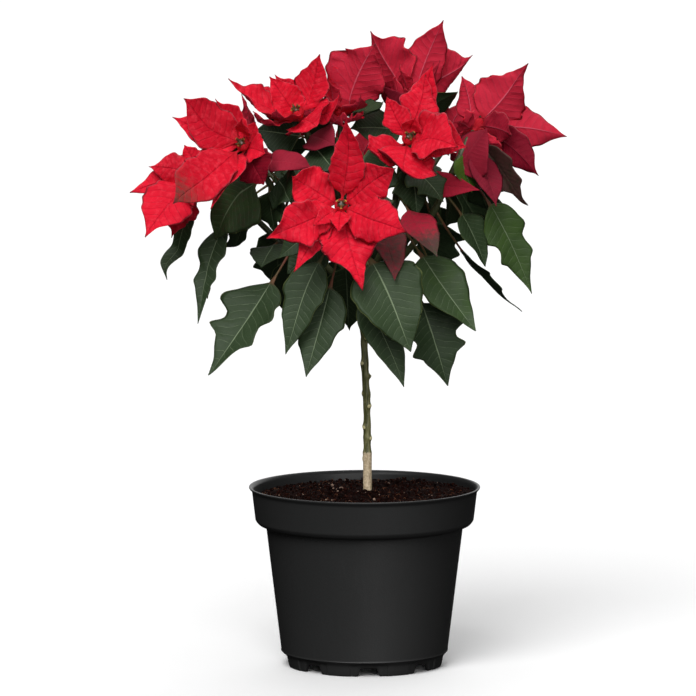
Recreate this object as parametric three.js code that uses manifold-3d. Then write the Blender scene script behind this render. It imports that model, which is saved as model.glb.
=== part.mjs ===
// A poinsettia grown as a small standard, in a black nursery pot.
// Millimetres, +Z up. Everything is laid out round the pot's axis, with z = 0 where the pot stands;
// the last lines move the whole plant so that the middle of its spread stands over the origin.
import * as THREE from "three";
import { mergeVertices } from "three/addons/utils/BufferGeometryUtils.js";
import Module from "manifold-3d";

const wasm = await Module();
wasm.setup();

// Driving dimensions.
const rimRadius = 95;
const potHeight = 148;
const footRadius = 64;
const notchHeight = 6.6;
const soilTop = 144;
const stemHoleDepth = 69;
const barkRadius = 3.65;
const leaderTop = 352;
const bladeThickness = 1.2;
const stalkThickness = 2.4;
const gap = 0.3;

const unit = (v) => v.clone().normalize();
const vec = (a) => new THREE.Vector3(...a);
const smooth = (a, b, x) => {
  const t = Math.min(1, Math.max(0, (x - a) / (b - a)));
  return t * t * (3 - 2 * t);
};

// ---------------------------------------------------------------- solids

function solidFrom(geometry) {
  const bare = geometry.index ? geometry.toNonIndexed() : geometry.clone();
  bare.deleteAttribute("normal");
  bare.deleteAttribute("uv");
  const merged = mergeVertices(bare, 1e-4);
  const corners = merged.index.array;
  const kept = [];
  for (let i = 0; i < corners.length; i += 3) {
    const [a, b, c] = corners.subarray(i, i + 3);
    if (a !== b && b !== c && c !== a) kept.push(a, b, c);
  }
  const mesh = new wasm.Mesh({
    numProp: 3,
    vertProperties: merged.attributes.position.array,
    triVerts: new Uint32Array(kept),
  });
  return new wasm.Manifold(mesh);
}

// The largest of the bodies in a solid: a boolean can leave a scrap beside it.
function largest(solid) {
  return solid.decompose().reduce((a, b) => (b.volume() > a.volume() ? b : a));
}

function fuse(solids) {
  return solids.reduce((a, b) => a.add(b));
}

function meshOf(solid, name, material) {
  const made = largest(solid.simplify(0.08)).getMesh();
  const geometry = new THREE.BufferGeometry();
  const corners = new Float32Array(made.numVert * 3);
  for (let i = 0; i < made.numVert; i++) {
    corners.set(made.vertProperties.subarray(i * made.numProp, i * made.numProp + 3), i * 3);
  }
  geometry.setAttribute("position", new THREE.BufferAttribute(corners, 3));
  geometry.setIndex(new THREE.BufferAttribute(new Uint32Array(made.triVerts), 1));
  geometry.computeVertexNormals();
  const mesh = new THREE.Mesh(geometry, material);
  mesh.name = name;
  return mesh;
}

// A closed skin over rings of points that all have the same count; both ends are closed by a fan
// round their middle. The rings run anticlockwise seen from the last one.
function skin(rings) {
  const count = rings[0].length;
  const points = rings.flat();
  const faces = [];
  for (let i = 0; i + 1 < rings.length; i++) {
    for (let j = 0; j < count; j++) {
      const a = i * count + j;
      const b = i * count + ((j + 1) % count);
      faces.push(a, b, b + count, a, b + count, a + count);
    }
  }
  const middle = (ring) => ring.reduce((s, p) => s.add(p), new THREE.Vector3()).divideScalar(count);
  const first = points.push(middle(rings[0])) - 1;
  const last = points.push(middle(rings[rings.length - 1])) - 1;
  const top = (rings.length - 1) * count;
  for (let j = 0; j < count; j++) {
    const k = (j + 1) % count;
    faces.push(first, k, j, last, top + j, top + k);
  }
  const geometry = new THREE.BufferGeometry().setFromPoints(points);
  geometry.setIndex(faces);
  return solidFrom(geometry);
}

// A tube through a list of centres, with a radius and, where given, a direction at each one.
function taperedTube(centres, radii, sides, directions) {
  const last = centres.length - 1;
  const along =
    directions ??
    centres.map((c, i) => unit(centres[Math.min(i + 1, last)].clone().sub(centres[Math.max(i - 1, 0)])));
  const side = Math.abs(along[0].z) > 0.8 ? new THREE.Vector3(1, 0, 0) : new THREE.Vector3(0, 0, 1);
  return skin(
    centres.map((c, i) => {
      const x = unit(side.clone().addScaledVector(along[i], -side.dot(along[i])));
      const y = along[i].clone().cross(x);
      side.copy(x);
      return Array.from({ length: sides }, (_, j) => {
        const a = (2 * Math.PI * j) / sides;
        return c
          .clone()
          .addScaledVector(x, radii[i] * Math.cos(a))
          .addScaledVector(y, radii[i] * Math.sin(a));
      });
    }),
  );
}

function turned(profile, segments) {
  const points = profile.map(([r, z]) => new THREE.Vector2(r, z));
  const geometry = new THREE.LatheGeometry(points, segments);
  geometry.rotateX(Math.PI / 2);
  return solidFrom(geometry);
}

// ---------------------------------------------------------------- pot, soil, trunk

const potOutside = [
  [60, 0], [footRadius, 0], [66, 9], [68.4, 12], [80.9, 114.5],
  [87.5, 117.5], [89.8, 120], [92.6, 144.5], [rimRadius, 147], [rimRadius, potHeight],
];
const potInside = [
  [93.3, potHeight], [91.3, 145.6], [88.5, 121.2], [86.6, 119], [79.7, 116.2], [66.5, 9.2],
];

// A block with a trapezium for its section, pointing out along +X from the pot's axis.
function notchBlock(bottomWidth, topWidth, bottom, top, from, to) {
  const shape = new THREE.Shape();
  shape.moveTo(-bottomWidth / 2, bottom);
  shape.lineTo(bottomWidth / 2, bottom);
  shape.lineTo(topWidth / 2, top);
  shape.lineTo(-topWidth / 2, top);
  const block = new THREE.ExtrudeGeometry(shape, { depth: to - from, bevelEnabled: false });
  block.rotateX(Math.PI / 2);
  block.rotateZ(Math.PI / 2);
  block.translate(from, 0, 0);
  return block;
}

function makePot() {
  let pot = turned([[0, 7], [60, 7], ...potOutside, ...potInside, [0, 9.2]], 32);
  const cuts = [];
  for (let k = 0; k < 8; k++) {
    const turn = (-87 + 45 * k) * (Math.PI / 180);
    cuts.push(notchBlock(20, 12, -1, notchHeight, 55, 70).rotateZ(turn));
    cuts.push(notchBlock(31, 25, -1, notchHeight + 2.6, 65.2, 72).rotateZ(turn));
    const hole = new THREE.CylinderGeometry(4.5, 4.5, 8, 6).rotateX(Math.PI / 2);
    cuts.push(hole.translate(46, 0, 8).rotateZ(turn + Math.PI / 8));
  }
  for (const cut of cuts) {
    pot = pot.subtract(solidFrom(cut));
  }
  return largest(pot);
}

// Height of the soil: heaped a little round the stem, lower at the back and left, and lumpy.
function soilHeight(x, y) {
  const far = Math.hypot(x, y) / 90;
  const lumps =
    1.1 * Math.sin(0.21 * x + 1.3) * Math.cos(0.17 * y - 0.6) +
    0.8 * Math.sin(0.39 * x - 0.33 * y + 2.1) +
    0.5 * Math.sin(0.55 * y + 0.47 * x);
  return soilTop + 1.2 - 4.2 * far * far + (0.018 * x - 0.016 * y) + lumps * smooth(0.06, 0.25, far);
}

function makeSoil() {
  const sides = 20;
  const hole = barkRadius + gap;
  // Rings near the middle are centred on the stem, the wide ones on the pot.
  const ring = (r, height) =>
    Array.from({ length: sides }, (_, j) => {
      const a = (2 * Math.PI * j) / sides;
      const x = r * Math.cos(a) + stemRows[0][0] * (1 - smooth(20, 60, r));
      const y = r * Math.sin(a);
      return new THREE.Vector3(x, y, height ?? soilHeight(x, y));
    });
  const holeBottom = soilTop - stemHoleDepth;
  const rings = [
    ring(65.7, 9.2 + gap), ring(78.6, 116.5), ring(85.9, 119.4), ring(87.8, 121.6), ring(89.2),
    ring(79), ring(66), ring(52), ring(38), ring(24), ring(12), ring(hole + 0.3), ring(hole + 0.3, holeBottom),
  ];
  return skin(rings);
}

// Centres of the bare stem and of its leader, with the radius at each.
const stemRows = [
  [2.5, 0, 75.4, 3.3], [2.5, 0, 120, 3.6], [2.5, 0, 143, 3.65], [2.4, 0, 160, 3.55], [2.4, 0, 173, 3.6],
  [2.3, 0, 176, 3.7], [2.3, 0, 178, 3.25], [2.2, 0, 186, 3.15], [2.3, 0, 188.5, 3.45], [2.2, 0, 191, 3.15],
  [2.1, 0, 196, 3.2], [1.9, 0, 198, 3.45], [2.1, 0, 200.5, 3.15], [2, 0, 213, 3.1], [2.2, 0, 215, 3.4],
  [1.9, 0, 217, 3.1], [1.6, 0, 225.5, 3.35], [1.3, 0, 228, 3.1], [0.9, 0, 237, 3.1], [1.1, 0, 239.5, 3.4],
  [0.6, 0, 242, 3.1], [0.1, 0, 250, 3.4], [0.2, 0, 253, 3.1], [-0.1, 0, 269, 3.2], [0.3, 0, 271.5, 3.45],
  [-0.6, 0.3, 276, 3.15], [-1.5, 1, 288, 3.2], [-1, 3, 305, 3.2], [1, 6, 328, 3.1], [2.6, 8.4, 345, 2.9],
  [3, 9, leaderTop, 2.4],
];

function makeTrunk() {
  return taperedTube(stemRows.map((r) => vec(r)), stemRows.map((r) => r[3]), 6);
}

// The stem's centre at a height.
function stemAt(z) {
  const k = Math.max(1, stemRows.findIndex((r) => r[2] >= z));
  const [a, b] = [stemRows[k - 1], stemRows[k]];
  return vec(a).lerp(vec(b), (z - a[2]) / (b[2] - a[2]));
}

// ---------------------------------------------------------------- shoots

// Each shoot: its middle, the way its bloom faces, the height at which its branch leaves the stem,
// and how far its bracts may droop behind their plane for each millimetre out.
const shoots = {
  front: { middle: [-19, -105, 391], faces: [0, -0.93, 0.36], foot: 284, droop: 0.1 },
  right_front: { middle: [36, -55, 441], faces: [0.2, -0.8, 0.56], foot: 321, droop: 0.12 },
  left: { middle: [-100, -55, 436], faces: [-0.38, -0.78, 0.5], foot: 305, droop: 0.14 },
  far_left: { middle: [-138, -12, 409], faces: [-0.6, -0.7, 0.4], foot: 297, droop: 0.3 },
  upper_left: { middle: [-56, -12, 459], faces: [-0.4, -0.42, 0.81], foot: 327.5, droop: 0.12 },
  middle: { middle: [-20, 28, 458], faces: [0, 0.05, 1], foot: 349, droop: 0.22 },
  top: { middle: [38, 52, 470], faces: [0.05, 0.6, 0.8], foot: 342, droop: 0.3 },
  right: { middle: [95, 2, 449], faces: [0.45, 0.68, 0.58], foot: 312, droop: 0.22 },
  upper_back: { middle: [-40, 88, 444], faces: [-0.25, 0.62, 0.74], foot: 335, droop: 0.35 },
  back: { middle: [-12, 122, 398], faces: [-0.05, 0.93, 0.36], foot: 291, droop: 0.3 },
  back_left: { middle: [-94, 72, 412], faces: [-0.66, 0.6, 0.45], foot: 314, droop: 0.3 },
  back_right: { middle: [72, 86, 424], faces: [0.5, 0.7, 0.5], foot: 299, droop: 0.3 },
};
for (const shoot of Object.values(shoots)) {
  shoot.centre = vec(shoot.middle);
  shoot.front = unit(vec(shoot.faces));
  shoot.site = shoot.centre.clone().addScaledVector(shoot.front, 20);
}

// Outlines: half width as a share of the widest, at shares of the blade's length.
const outlines = {
  oval: [[0.04, 0.36], [0.36, 1], [0.68, 0.78], [1, 0.02]],
  shoulder: [[0, 0.16], [0.14, 0.7], [0.48, 1], [0.7, 0.5], [1, 0.02]],
  broad: [[0, 0.16], [0.16, 0.74], [0.58, 1], [0.78, 0.56], [1, 0.02]],
  narrow: [[0, 0.3], [0.45, 1], [1, 0.04]],
  leaf: [[0, 0.1], [0.14, 0.82], [0.38, 1], [0.48, 0.76], [0.63, 0.78], [1, 0.02]],
};

// Points of a space that holds only this shoot's bracts: past a share of the half distance to
// each neighbour the way left is squeezed, and what is lost sideways partly becomes lift.
function keepToOwnSide(p, shoot, lift) {
  for (const other of Object.values(shoots)) {
    if (other === shoot) continue;
    const across = other.site.clone().sub(shoot.site);
    const half = across.length() / 2;
    if (half > 75) continue;
    across.normalize();
    const start = 0.55 * half;
    const room = half - 1.1 - start;
    const s = p.clone().sub(shoot.site).dot(across);
    if (s <= start) continue;
    const lost = s - start - room * (1 - Math.exp(-(s - start) / room));
    p.addScaledVector(across, -lost);
    const up = shoot.front.clone().addScaledVector(across, -shoot.front.dot(across));
    p.addScaledVector(up, lift * lost);
  }
}

function settleBract(p, shoot) {
  keepToOwnSide(p, shoot, 0.5);
  keepToOwnSide(p, shoot, 0);
  keepToOwnSide(p, shoot, 0);
  // In front of the shoot's own leaves, and clear of the true flowers in the middle.
  const from = p.clone().sub(shoot.centre);
  let a = from.dot(shoot.front);
  const out = from.clone().addScaledVector(shoot.front, -a);
  const r = out.length();
  const lowest = -13 - shoot.droop * r;
  if (a < lowest) {
    p.addScaledVector(shoot.front, lowest - a);
    a = lowest;
  }
  const clear = 7.2 * smooth(-4.5, 0, a);
  if (r > 1e-6) p.addScaledVector(out, Math.sqrt(r * r + clear * clear) / r - 1);
}

// Leaves stay behind the bracts of every shoot, as far as they are held to it.
function settleLeaf(p, hold) {
  for (const shoot of Object.values(shoots)) {
    const from = p.clone().sub(shoot.centre);
    const a = from.dot(shoot.front);
    const r = from.clone().addScaledVector(shoot.front, -a).length();
    const over = a + 16.5 + shoot.droop * Math.min(r, 80);
    if (over <= 0) continue;
    const weight = (1 - smooth(62, 86, r)) * (1 - smooth(60, 110, a));
    p.addScaledVector(shoot.front, -over * weight * hold);
  }
}

// A bract or leaf as a grid of points on its middle surface, three across at each station.
// The midrib is a bowed curve from root to tip; the blade is folded up from it by a share of its
// width and turned about it by the roll, which grows from nothing over the stalk.
function bladeGrid(blade) {
  const root = blade.root;
  const chord = blade.tip.clone().sub(root);
  const up = unit(blade.up.clone().addScaledVector(chord, -blade.up.dot(chord) / chord.lengthSq()));
  const bow = chord.clone().multiplyScalar(0.45).addScaledVector(up, blade.arch * chord.length()).add(root);
  const curve = new THREE.QuadraticBezierCurve3(root, bow, blade.tip);
  const side = unit(chord.clone().cross(up));
  const outline = outlines[blade.outline];
  const stations = [0, ...outline.map(([s]) => blade.stalk + (1 - blade.stalk) * s)];
  return stations.map((s, i) => {
    const along = unit(curve.getTangent(s));
    const lift = unit(side.clone().cross(along));
    const turn = blade.roll * smooth(0, blade.stalk + 0.2, s);
    const across = side.clone().applyAxisAngle(along, turn);
    const above = lift.clone().applyAxisAngle(along, turn);
    const half = i === 0 ? 1.2 : Math.max(outline[i - 1][1] * blade.width * 0.5, i === 1 ? 1.2 : 0.3);
    const inBlade = smooth(0, 0.3, (s - blade.stalk) / (1 - blade.stalk));
    const thick = stalkThickness + (bladeThickness - stalkThickness) * inBlade;
    const middle = curve.getPoint(s);
    const row = [-1, 0, 1].map((v) =>
      middle
        .clone()
        .addScaledVector(across, v * half)
        .addScaledVector(above, Math.abs(v) * half * blade.fold * inBlade),
    );
    row.forEach((p) => blade.settle(p));
    return { row, thick };
  });
}

// The closed solid of a blade: thickest along its midrib, with its upper and lower faces meeting
// in the two edges, and the same triangles on both faces.
function bladeSolid(blade) {
  const grid = bladeGrid(blade);
  const rings = grid.map(({ row, thick }, i) => {
    const before = grid[Math.max(i - 1, 0)].row;
    const after = grid[Math.min(i + 1, grid.length - 1)].row;
    const above = unit(row[2].clone().sub(row[0]).cross(after[1].clone().sub(before[1])));
    const top = row[1].clone().addScaledVector(above, thick / 2);
    const bottom = row[1].clone().addScaledVector(above, -thick / 2);
    return [row[0], top, row[2], bottom];
  });
  const faces = [];
  for (let i = 0; i + 1 < rings.length; i++) {
    for (let j = 0; j < 4; j++) {
      const a = 4 * i + j;
      const b = 4 * i + ((j + 1) % 4);
      // The diagonal starts from the midrib on every face.
      if (j % 2) faces.push(a, b, b + 4, a, b + 4, a + 4);
      else faces.push(a, b, a + 4, b, b + 4, a + 4);
    }
  }
  const end = 4 * (rings.length - 1);
  faces.push(0, 2, 1, 0, 3, 2, end, end + 1, end + 2, end, end + 2, end + 3);
  const geometry = new THREE.BufferGeometry().setFromPoints(rings.flat());
  geometry.setIndex(faces);
  return solidFrom(geometry);
}

// Bracts of the shoots laid by hand: tip, width, bow, roll in degrees, outline.
const bractRows = {
  front: [
    [-11, -124, 467, 28, 0.1, 0, "oval"],
    [30, -126, 427, 32, 0.12, 0, "broad"],
    [32, -138, 372, 37, 0.16, 10, "broad"],
    [-2, -128, 324, 45, 0.14, 0, "shoulder"],
    [-57, -122, 338, 20, 0.1, 0, "narrow"],
    [-78, -128, 366, 34, 0.12, -10, "broad"],
    [-68, -106, 418, 34, 0.12, 0, "broad"],
    [-21, -124, 372, 15, 0.15, 0, "narrow"],
    [-40, -120, 376, 13, 0.15, -10, "narrow"],
  ],
  right_front: [
    [51, -30, 489, 33, 0.1, 0, "oval"],
    [60, -14, 497, 34, 0.04, 10, "oval"],
    [17, -42, 472, 24, 0.1, -20, "oval"],
    [-10, -80, 419, 30, 0.14, -20, "shoulder"],
    [29, -97, 397, 50, 0.14, 0, "broad"],
    [74, -90, 436, 38, 0.2, 20, "broad"],
    [82, -66, 433, 40, 0.3, 25, "oval"],
    [40, -60, 454, 12, 0.1, 0, "narrow"],
  ],
  left: [
    [-146, -62, 472, 38, -0.04, 0, "oval"],
    [-163, -50, 446, 34, 0.06, 10, "oval"],
    [-117, -30, 471, 32, 0.1, 0, "broad"],
    [-86, -50, 453, 14, 0.12, 20, "narrow"],
    [-80, -64, 428, 25, 0.14, 10, "oval"],
    [-162, -92, 380, 40, 0.14, -10, "oval"],
    [-124, -88, 384, 32, 0.12, 20, "oval"],
    [-80, -64, 402, 38, 0.04, 20, "oval"],
    [-101, -74, 455, 11, 0.12, 40, "narrow"],
  ],
  far_left: [
    [-175, -8, 412, 30, 0.26, 0, "oval"],
    [-191, -8, 391, 25, 0.12, -10, "oval"],
    [-178, -42, 358, 46, 0.14, -15, "oval"],
    [-147, 5, 428, 20, 0.1, 0, "narrow"],
    [-166, 42, 404, 28, 0.12, 0, "oval"],
    [-158, 14, 352, 34, 0.12, -20, "oval"],
    [-140, -50, 385, 24, 0.1, -20, "oval"],
  ],
  upper_left: [
    [-113, -20, 482, 32, -0.02, -5, "oval"],
    [-77, -6, 485, 24, 0.1, 0, "oval"],
    [-25, 0, 500, 38, 0.12, 10, "oval"],
    [-38, -43, 447, 42, 0.16, 10, "broad"],
    [-106, -44, 438, 20, 0.1, 0, "oval"],
    [-62, 32, 480, 28, 0.12, 0, "oval"],
    [4, -34, 462, 20, 0.1, 20, "oval"],
    [-68, 4, 481, 20, 0.1, 0, "oval"],
    [-96, 22, 474, 26, 0.12, -20, "oval"],
    [-78, -52, 452, 22, 0.12, 0, "oval"],
  ],
  middle: [
    [8, 8, 511, 54, 0.1, -70, "broad"],
    [5, -26, 462, 22, 0.12, 10, "oval"],
    [26, -10, 453, 24, 0.12, 30, "oval"],
    [-38, -26, 436, 28, 0.12, -10, "oval"],
    [-4, -36, 438, 30, 0.12, 10, "oval"],
    [-50, 30, 486, 26, 0.12, 0, "oval"],
    [8, 66, 472, 24, 0.12, 0, "oval"],
    [-28, 12, 480, 12, 0.12, 0, "narrow"],
  ],
  top: [
    [-2, 58, 514, 48, 0.1, 16, "broad"],
    [65, 46, 528, 35, 0.1, -25, "oval"],
    [98, 64, 489, 50, 0.14, -70, "broad"],
    [76, 14, 480, 18, 0.12, -30, "narrow"],
    [2, 16, 466, 24, 0.12, 50, "oval"],
    [12, 104, 482, 28, 0.14, 0, "shoulder"],
    [66, 104, 480, 27, 0.14, 0, "oval"],
    [30, 34, 486, 12, 0.12, 0, "narrow"],
    [46, 0, 462, 30, 0.1, 0, "oval"],
  ],
  right: [
    [133, 0, 496, 44, 0.06, 0, "shoulder"],
    [165, 5, 436, 34, 0.14, -50, "broad"],
    [141, -32, 407, 29, 0.12, -40, "oval"],
    [130, 36, 416, 27, 0.12, -30, "oval"],
    [80, 12, 484, 26, 0.12, 40, "oval"],
    [118, -34, 440, 26, 0.24, -30, "oval"],
    [104, -30, 408, 28, 0.1, -30, "oval"],
    [116, 52, 478, 26, 0.14, 0, "oval"],
    [68, -24, 444, 30, 0.12, 20, "oval"],
  ],
  upper_back: [
    [-84, 84, 466, 26, 0.14, 30, "oval"],
    [-66, 132, 446, 28, 0.14, 0, "shoulder"],
    [-18, 134, 450, 26, 0.14, 0, "oval"],
    [2, 96, 464, 26, 0.12, 0, "oval"],
    [-58, 72, 470, 16, 0.12, 20, "narrow"],
    [-38, 94, 468, 12, 0.12, 0, "narrow"],
    [-40, 124, 422, 26, 0.12, 0, "oval"],
  ],
};

// The far side's bracts open by the golden angle, from short steep ones to long flat ones.
function rosetteRows(shoot, count, turn) {
  const x = unit(new THREE.Vector3(0, 0, 1).cross(shoot.front));
  const y = shoot.front.clone().cross(x);
  return Array.from({ length: count }, (_, k) => {
    const share = k / (count - 1);
    const a = turn + 2.399963 * k;
    const rise = 1.05 - 1.0 * share;
    const length = 24 + 38 * Math.sqrt(share);
    const tip = shoot.centre
      .clone()
      .addScaledVector(x, length * Math.cos(rise) * Math.cos(a))
      .addScaledVector(y, length * Math.cos(rise) * Math.sin(a))
      .addScaledVector(shoot.front, length * Math.sin(rise));
    const outline = share < 0.25 ? "narrow" : k % 3 === 1 ? "shoulder" : "oval";
    return [tip.x, tip.y, tip.z, 9 + 21 * share, 0.14, 0, outline];
  });
}
bractRows.back = rosetteRows(shoots.back, 9, 0.4);
bractRows.back_left = rosetteRows(shoots.back_left, 8, 1.9);
bractRows.back_right = rosetteRows(shoots.back_right, 8, 0.2);

// Leaves and half-turned leaves: root as a share of the branch, tip, width, stalk's share of the
// length, bow, roll in degrees, outline, and how far it is held behind the bracts where not wholly.
const leafRows = {
  front: [
    [0.86, 37, -118, 274, 59, 0.4, 0.1, 10, "leaf"],
    [0.62, 31, -84, 241, 31, 0.4, 0.14, 20, "leaf"],
    [0.7, -47, -93, 250, 40, 0.4, 0.02, -20, "leaf"],
    [0.8, -64, -96, 269, 34, 0.34, 0.06, -20, "leaf"],
    [0.88, -70, -84, 345, 24, 0.3, 0.1, -40, "oval"],
    [0.75, -62, -62, 330, 40, 0.34, 0.1, -30, "leaf"],
    [0.6, -34, -44, 376, 38, 0.34, 0.1, 0, "leaf"],
    [0.8, 24, -66, 390, 38, 0.3, 0.1, 0, "oval"],
    [0.55, -12, -30, 281, 42, 0.2, 0.1, 0, "oval"],
  ],
  right_front: [
    [0.35, 68, -45, 237, 54, 0.5, 0.04, 30, "leaf"],
    [0.5, 90, -60, 284, 44, 0.4, -0.06, 30, "leaf"],
    [0.6, 58, -78, 345, 29, 0.34, 0.1, 10, "oval"],
    [0.84, 64, -50, 388, 44, 0.26, 0.1, 10, "leaf"],
    [0.46, 24, -124, 337, 34, 0.34, 0.16, 0, "oval"],
    [0.88, -4, -52, 398, 36, 0.3, 0.1, -20, "leaf"],
    [0.7, 93, -40, 396, 22, 0.15, 0.06, 60, "narrow", 0.3],
    [0.9, 42, -34, 374, 44, 0.2, 0.1, 20, "oval"],
  ],
  left: [
    [0.42, -127, -70, 250, 54, 0.36, -0.07, -20, "leaf"],
    [0.8, -123, -2, 352, 58, 0.22, 0.1, -50, "leaf"],
    [0.85, -60, -50, 388, 46, 0.26, 0.1, -10, "leaf"],
    [0.96, -42, -52, 415, 26, 0.08, 0.28, -10, "shoulder", 0.3],
    [0.72, -72, -22, 360, 46, 0.2, 0.1, -10, "oval"],
    [0.85, -104, -24, 454, 40, 0.15, 0.1, 0, "oval", 0],
  ],
  far_left: [
    [0.74, -136, -30, 286, 26, 0.24, 0.08, -40, "leaf"],
    [0.95, -163, 0, 318, 23, 0.25, 0.42, -60, "leaf"],
    [0.72, -130, 44, 298, 40, 0.3, 0.1, -30, "leaf"],
    [0.45, -84, -20, 330, 34, 0.2, 0.1, -30, "leaf"],
  ],
  upper_left: [
    [0.88, -88, 14, 440, 42, 0.2, 0.06, -70, "leaf", 0],
    [0.85, -24, -36, 411, 42, 0.2, 0.1, 0, "oval", 0.5],
    [0.75, -60, -22, 398, 34, 0.34, 0.1, -20, "leaf"],
    [0.9, -24, -34, 432, 32, 0.15, 0.1, -10, "oval", 0],
    [0.7, -70, 4, 384, 46, 0.26, 0.1, -40, "oval"],
  ],
  middle: [
    [0.75, 17, -14, 404, 38, 0.26, 0.1, 0, "oval"],
    [0.7, -30, -14, 454, 40, 0.15, 0.1, 70, "oval", 0],
    [0.8, -38, 16, 394, 44, 0.2, 0.1, -40, "oval"],
    [0.85, -2, 26, 392, 42, 0.2, 0.1, 40, "oval"],
  ],
  top: [
    [0.85, 76, 2, 474, 30, 0.2, 0.1, 20, "oval", 0],
    [0.8, -12, 14, 442, 48, 0.15, 0.06, -80, "broad", 0],
    [0.75, 50, 104, 440, 32, 0.36, 0.1, 0, "leaf"],
    [0.75, 36, -8, 464, 44, 0.15, 0.1, 0, "oval", 0],
    [0.82, 12, 20, 478, 30, 0.15, 0.04, 0, "oval", 0],
    [0.78, 60, 28, 360, 44, 0.2, 0, 0, "oval"],
  ],
  right: [
    [0.78, 136, 5, 307, 38, 0.38, 0.1, 70, "leaf"],
    [0.5, 128, 34, 286, 32, 0.38, -0.06, 5, "leaf"],
    [0.93, 136, -4, 383, 54, 0.12, 0.12, 80, "leaf"],
    [0.93, 107, -40, 383, 32, 0.2, 0.1, 10, "oval"],
    [0.6, 98, -24, 332, 34, 0.36, 0.1, 30, "leaf"],
    [0.75, 124, 46, 350, 36, 0.36, 0.1, 0, "leaf"],
    [0.7, 66, 8, 362, 48, 0.26, 0.1, 20, "oval"],
    [0.72, 98, -38, 446, 46, 0.1, 0.1, 20, "oval", 0],
    [0.84, 86, -30, 393, 28, 0.1, 0.15, 20, "oval"],
  ],
  upper_back: [
    [0.8, -84, 60, 424, 30, 0.36, 0.1, 0, "leaf"],
    [0.75, -58, 128, 392, 36, 0.36, 0.1, 0, "leaf"],
    [0.6, -14, 98, 396, 34, 0.36, 0.1, 0, "leaf"],
  ],
  back: [
    [0.8, 24, 134, 300, 54, 0.36, 0.12, 0, "leaf"],
    [0.62, -30, 110, 262, 46, 0.4, 0.1, 0, "leaf"],
    [0.85, -52, 128, 316, 42, 0.36, 0.1, 0, "leaf"],
    [0.45, 20, 84, 246, 42, 0.42, 0.08, 0, "leaf"],
    [0.75, 30, 92, 340, 40, 0.36, 0.1, 0, "leaf"],
  ],
  back_left: [
    [0.7, -72, 110, 296, 50, 0.4, 0.12, 0, "leaf"],
    [0.85, -132, 66, 340, 40, 0.34, 0.1, 0, "leaf"],
    [0.5, -64, 74, 280, 44, 0.42, 0.1, 0, "leaf"],
    [0.7, -52, 94, 350, 40, 0.36, 0.1, 0, "leaf"],
  ],
  back_right: [
    [0.7, 60, 112, 304, 50, 0.4, 0.12, 0, "leaf"],
    [0.85, 118, 76, 344, 40, 0.34, 0.1, 0, "leaf"],
    [0.5, 76, 72, 262, 44, 0.42, 0.1, 0, "leaf"],
    [0.7, 60, 108, 340, 40, 0.36, 0.1, 0, "leaf"],
  ],
};

// ---------------------------------------------------------------- branch, bloom, true flowers

function branchCurve(shoot) {
  const foot = stemAt(shoot.foot);
  const tip = shoot.centre.clone().addScaledVector(shoot.front, -14 - gap);
  const reach = tip.distanceTo(foot);
  const out = unit(new THREE.Vector3(tip.x - foot.x, tip.y - foot.y, 0));
  const first = foot.clone().addScaledVector(out, 0.36 * reach).add(new THREE.Vector3(0, 0, 0.2 * reach));
  const second = tip.clone().addScaledVector(shoot.front, -0.3 * reach);
  return new THREE.CubicBezierCurve3(foot, first, second, tip);
}

function radians(degrees) {
  return (degrees * Math.PI) / 180;
}

function leafBlade(shoot, row) {
  const [share, x, y, z, width, stalk, arch, roll, outline, hold = 1] = row;
  const root = branchCurve(shoot).getPoint(share);
  const tip = new THREE.Vector3(x, y, z);
  const out = unit(new THREE.Vector3(tip.x, tip.y, 0));
  return {
    root, tip, width, stalk, arch, outline,
    up: out.multiplyScalar(0.75).add(new THREE.Vector3(0, 0, 0.66)),
    roll: radians(roll),
    fold: 0.22,
    settle: (p) => settleLeaf(p, hold),
  };
}

function bractBlade(shoot, row, order) {
  const [x, y, z, width, arch, roll, outline] = row;
  const small = outline === "narrow" && width < 14;
  const depth = small ? 5 : 6.5 + 5.5 * ((order * 0.618) % 1);
  const tip = new THREE.Vector3(x, y, z);
  const out = tip.clone().sub(shoot.centre);
  out.addScaledVector(shoot.front, -out.dot(shoot.front)).setLength(2);
  return {
    root: shoot.centre.clone().addScaledVector(shoot.front, -depth).add(out),
    tip,
    width, arch, outline,
    stalk: small ? 0.2 : 0.1,
    up: shoot.front.clone(),
    roll: radians(roll),
    fold: 0.2,
    settle: (p) => settleBract(p, shoot),
  };
}

function makeBranch(shoot, rows, trunk) {
  const curve = branchCurve(shoot);
  const steps = 7;
  const shares = Array.from({ length: steps }, (_, i) => i / (steps - 1));
  const centres = shares.map((t) => curve.getPoint(t));
  const radii = shares.map((t) => 2.9 - 0.7 * t);
  const directions = shares.map((t) => curve.getTangent(t));
  const stem = taperedTube(centres, radii, 6, directions).subtract(trunk);
  return largest(fuse([largest(stem), ...rows.map((row) => bladeSolid(leafBlade(shoot, row)))]));
}

function makeBloom(shoot, rows) {
  const axis = taperedTube(
    [-14, -6, 0].map((d) => shoot.centre.clone().addScaledVector(shoot.front, d)),
    [2.3, 5.4, 4.2],
    6,
  );
  const bracts = rows.map((row, k) => bladeSolid(bractBlade(shoot, row, k)));
  return fuse([axis, ...bracts]);
}

// The true flowers: a low green cushion with three small cups standing on it.
function makeFlowers(shoot) {
  const x = unit(new THREE.Vector3(0, 0, 1).cross(shoot.front));
  const y = shoot.front.clone().cross(x);
  const place = (a, r, h) =>
    shoot.centre
      .clone()
      .addScaledVector(x, r * Math.cos(a))
      .addScaledVector(y, r * Math.sin(a))
      .addScaledVector(shoot.front, h);
  const cushion = taperedTube([place(0, 0, gap), place(0, 0, 1.8)], [3.4, 2.4], 6);
  const cups = Array.from({ length: 3 }, (_, k) => {
    const a = 2.09 * k + 0.5;
    const at = (h) => place(a, 1.6 + 0.3 * h, h);
    return taperedTube([at(1), at(4.2)], [0.9, 1.4], 4);
  });
  return fuse([cushion, ...cups]);
}

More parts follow.
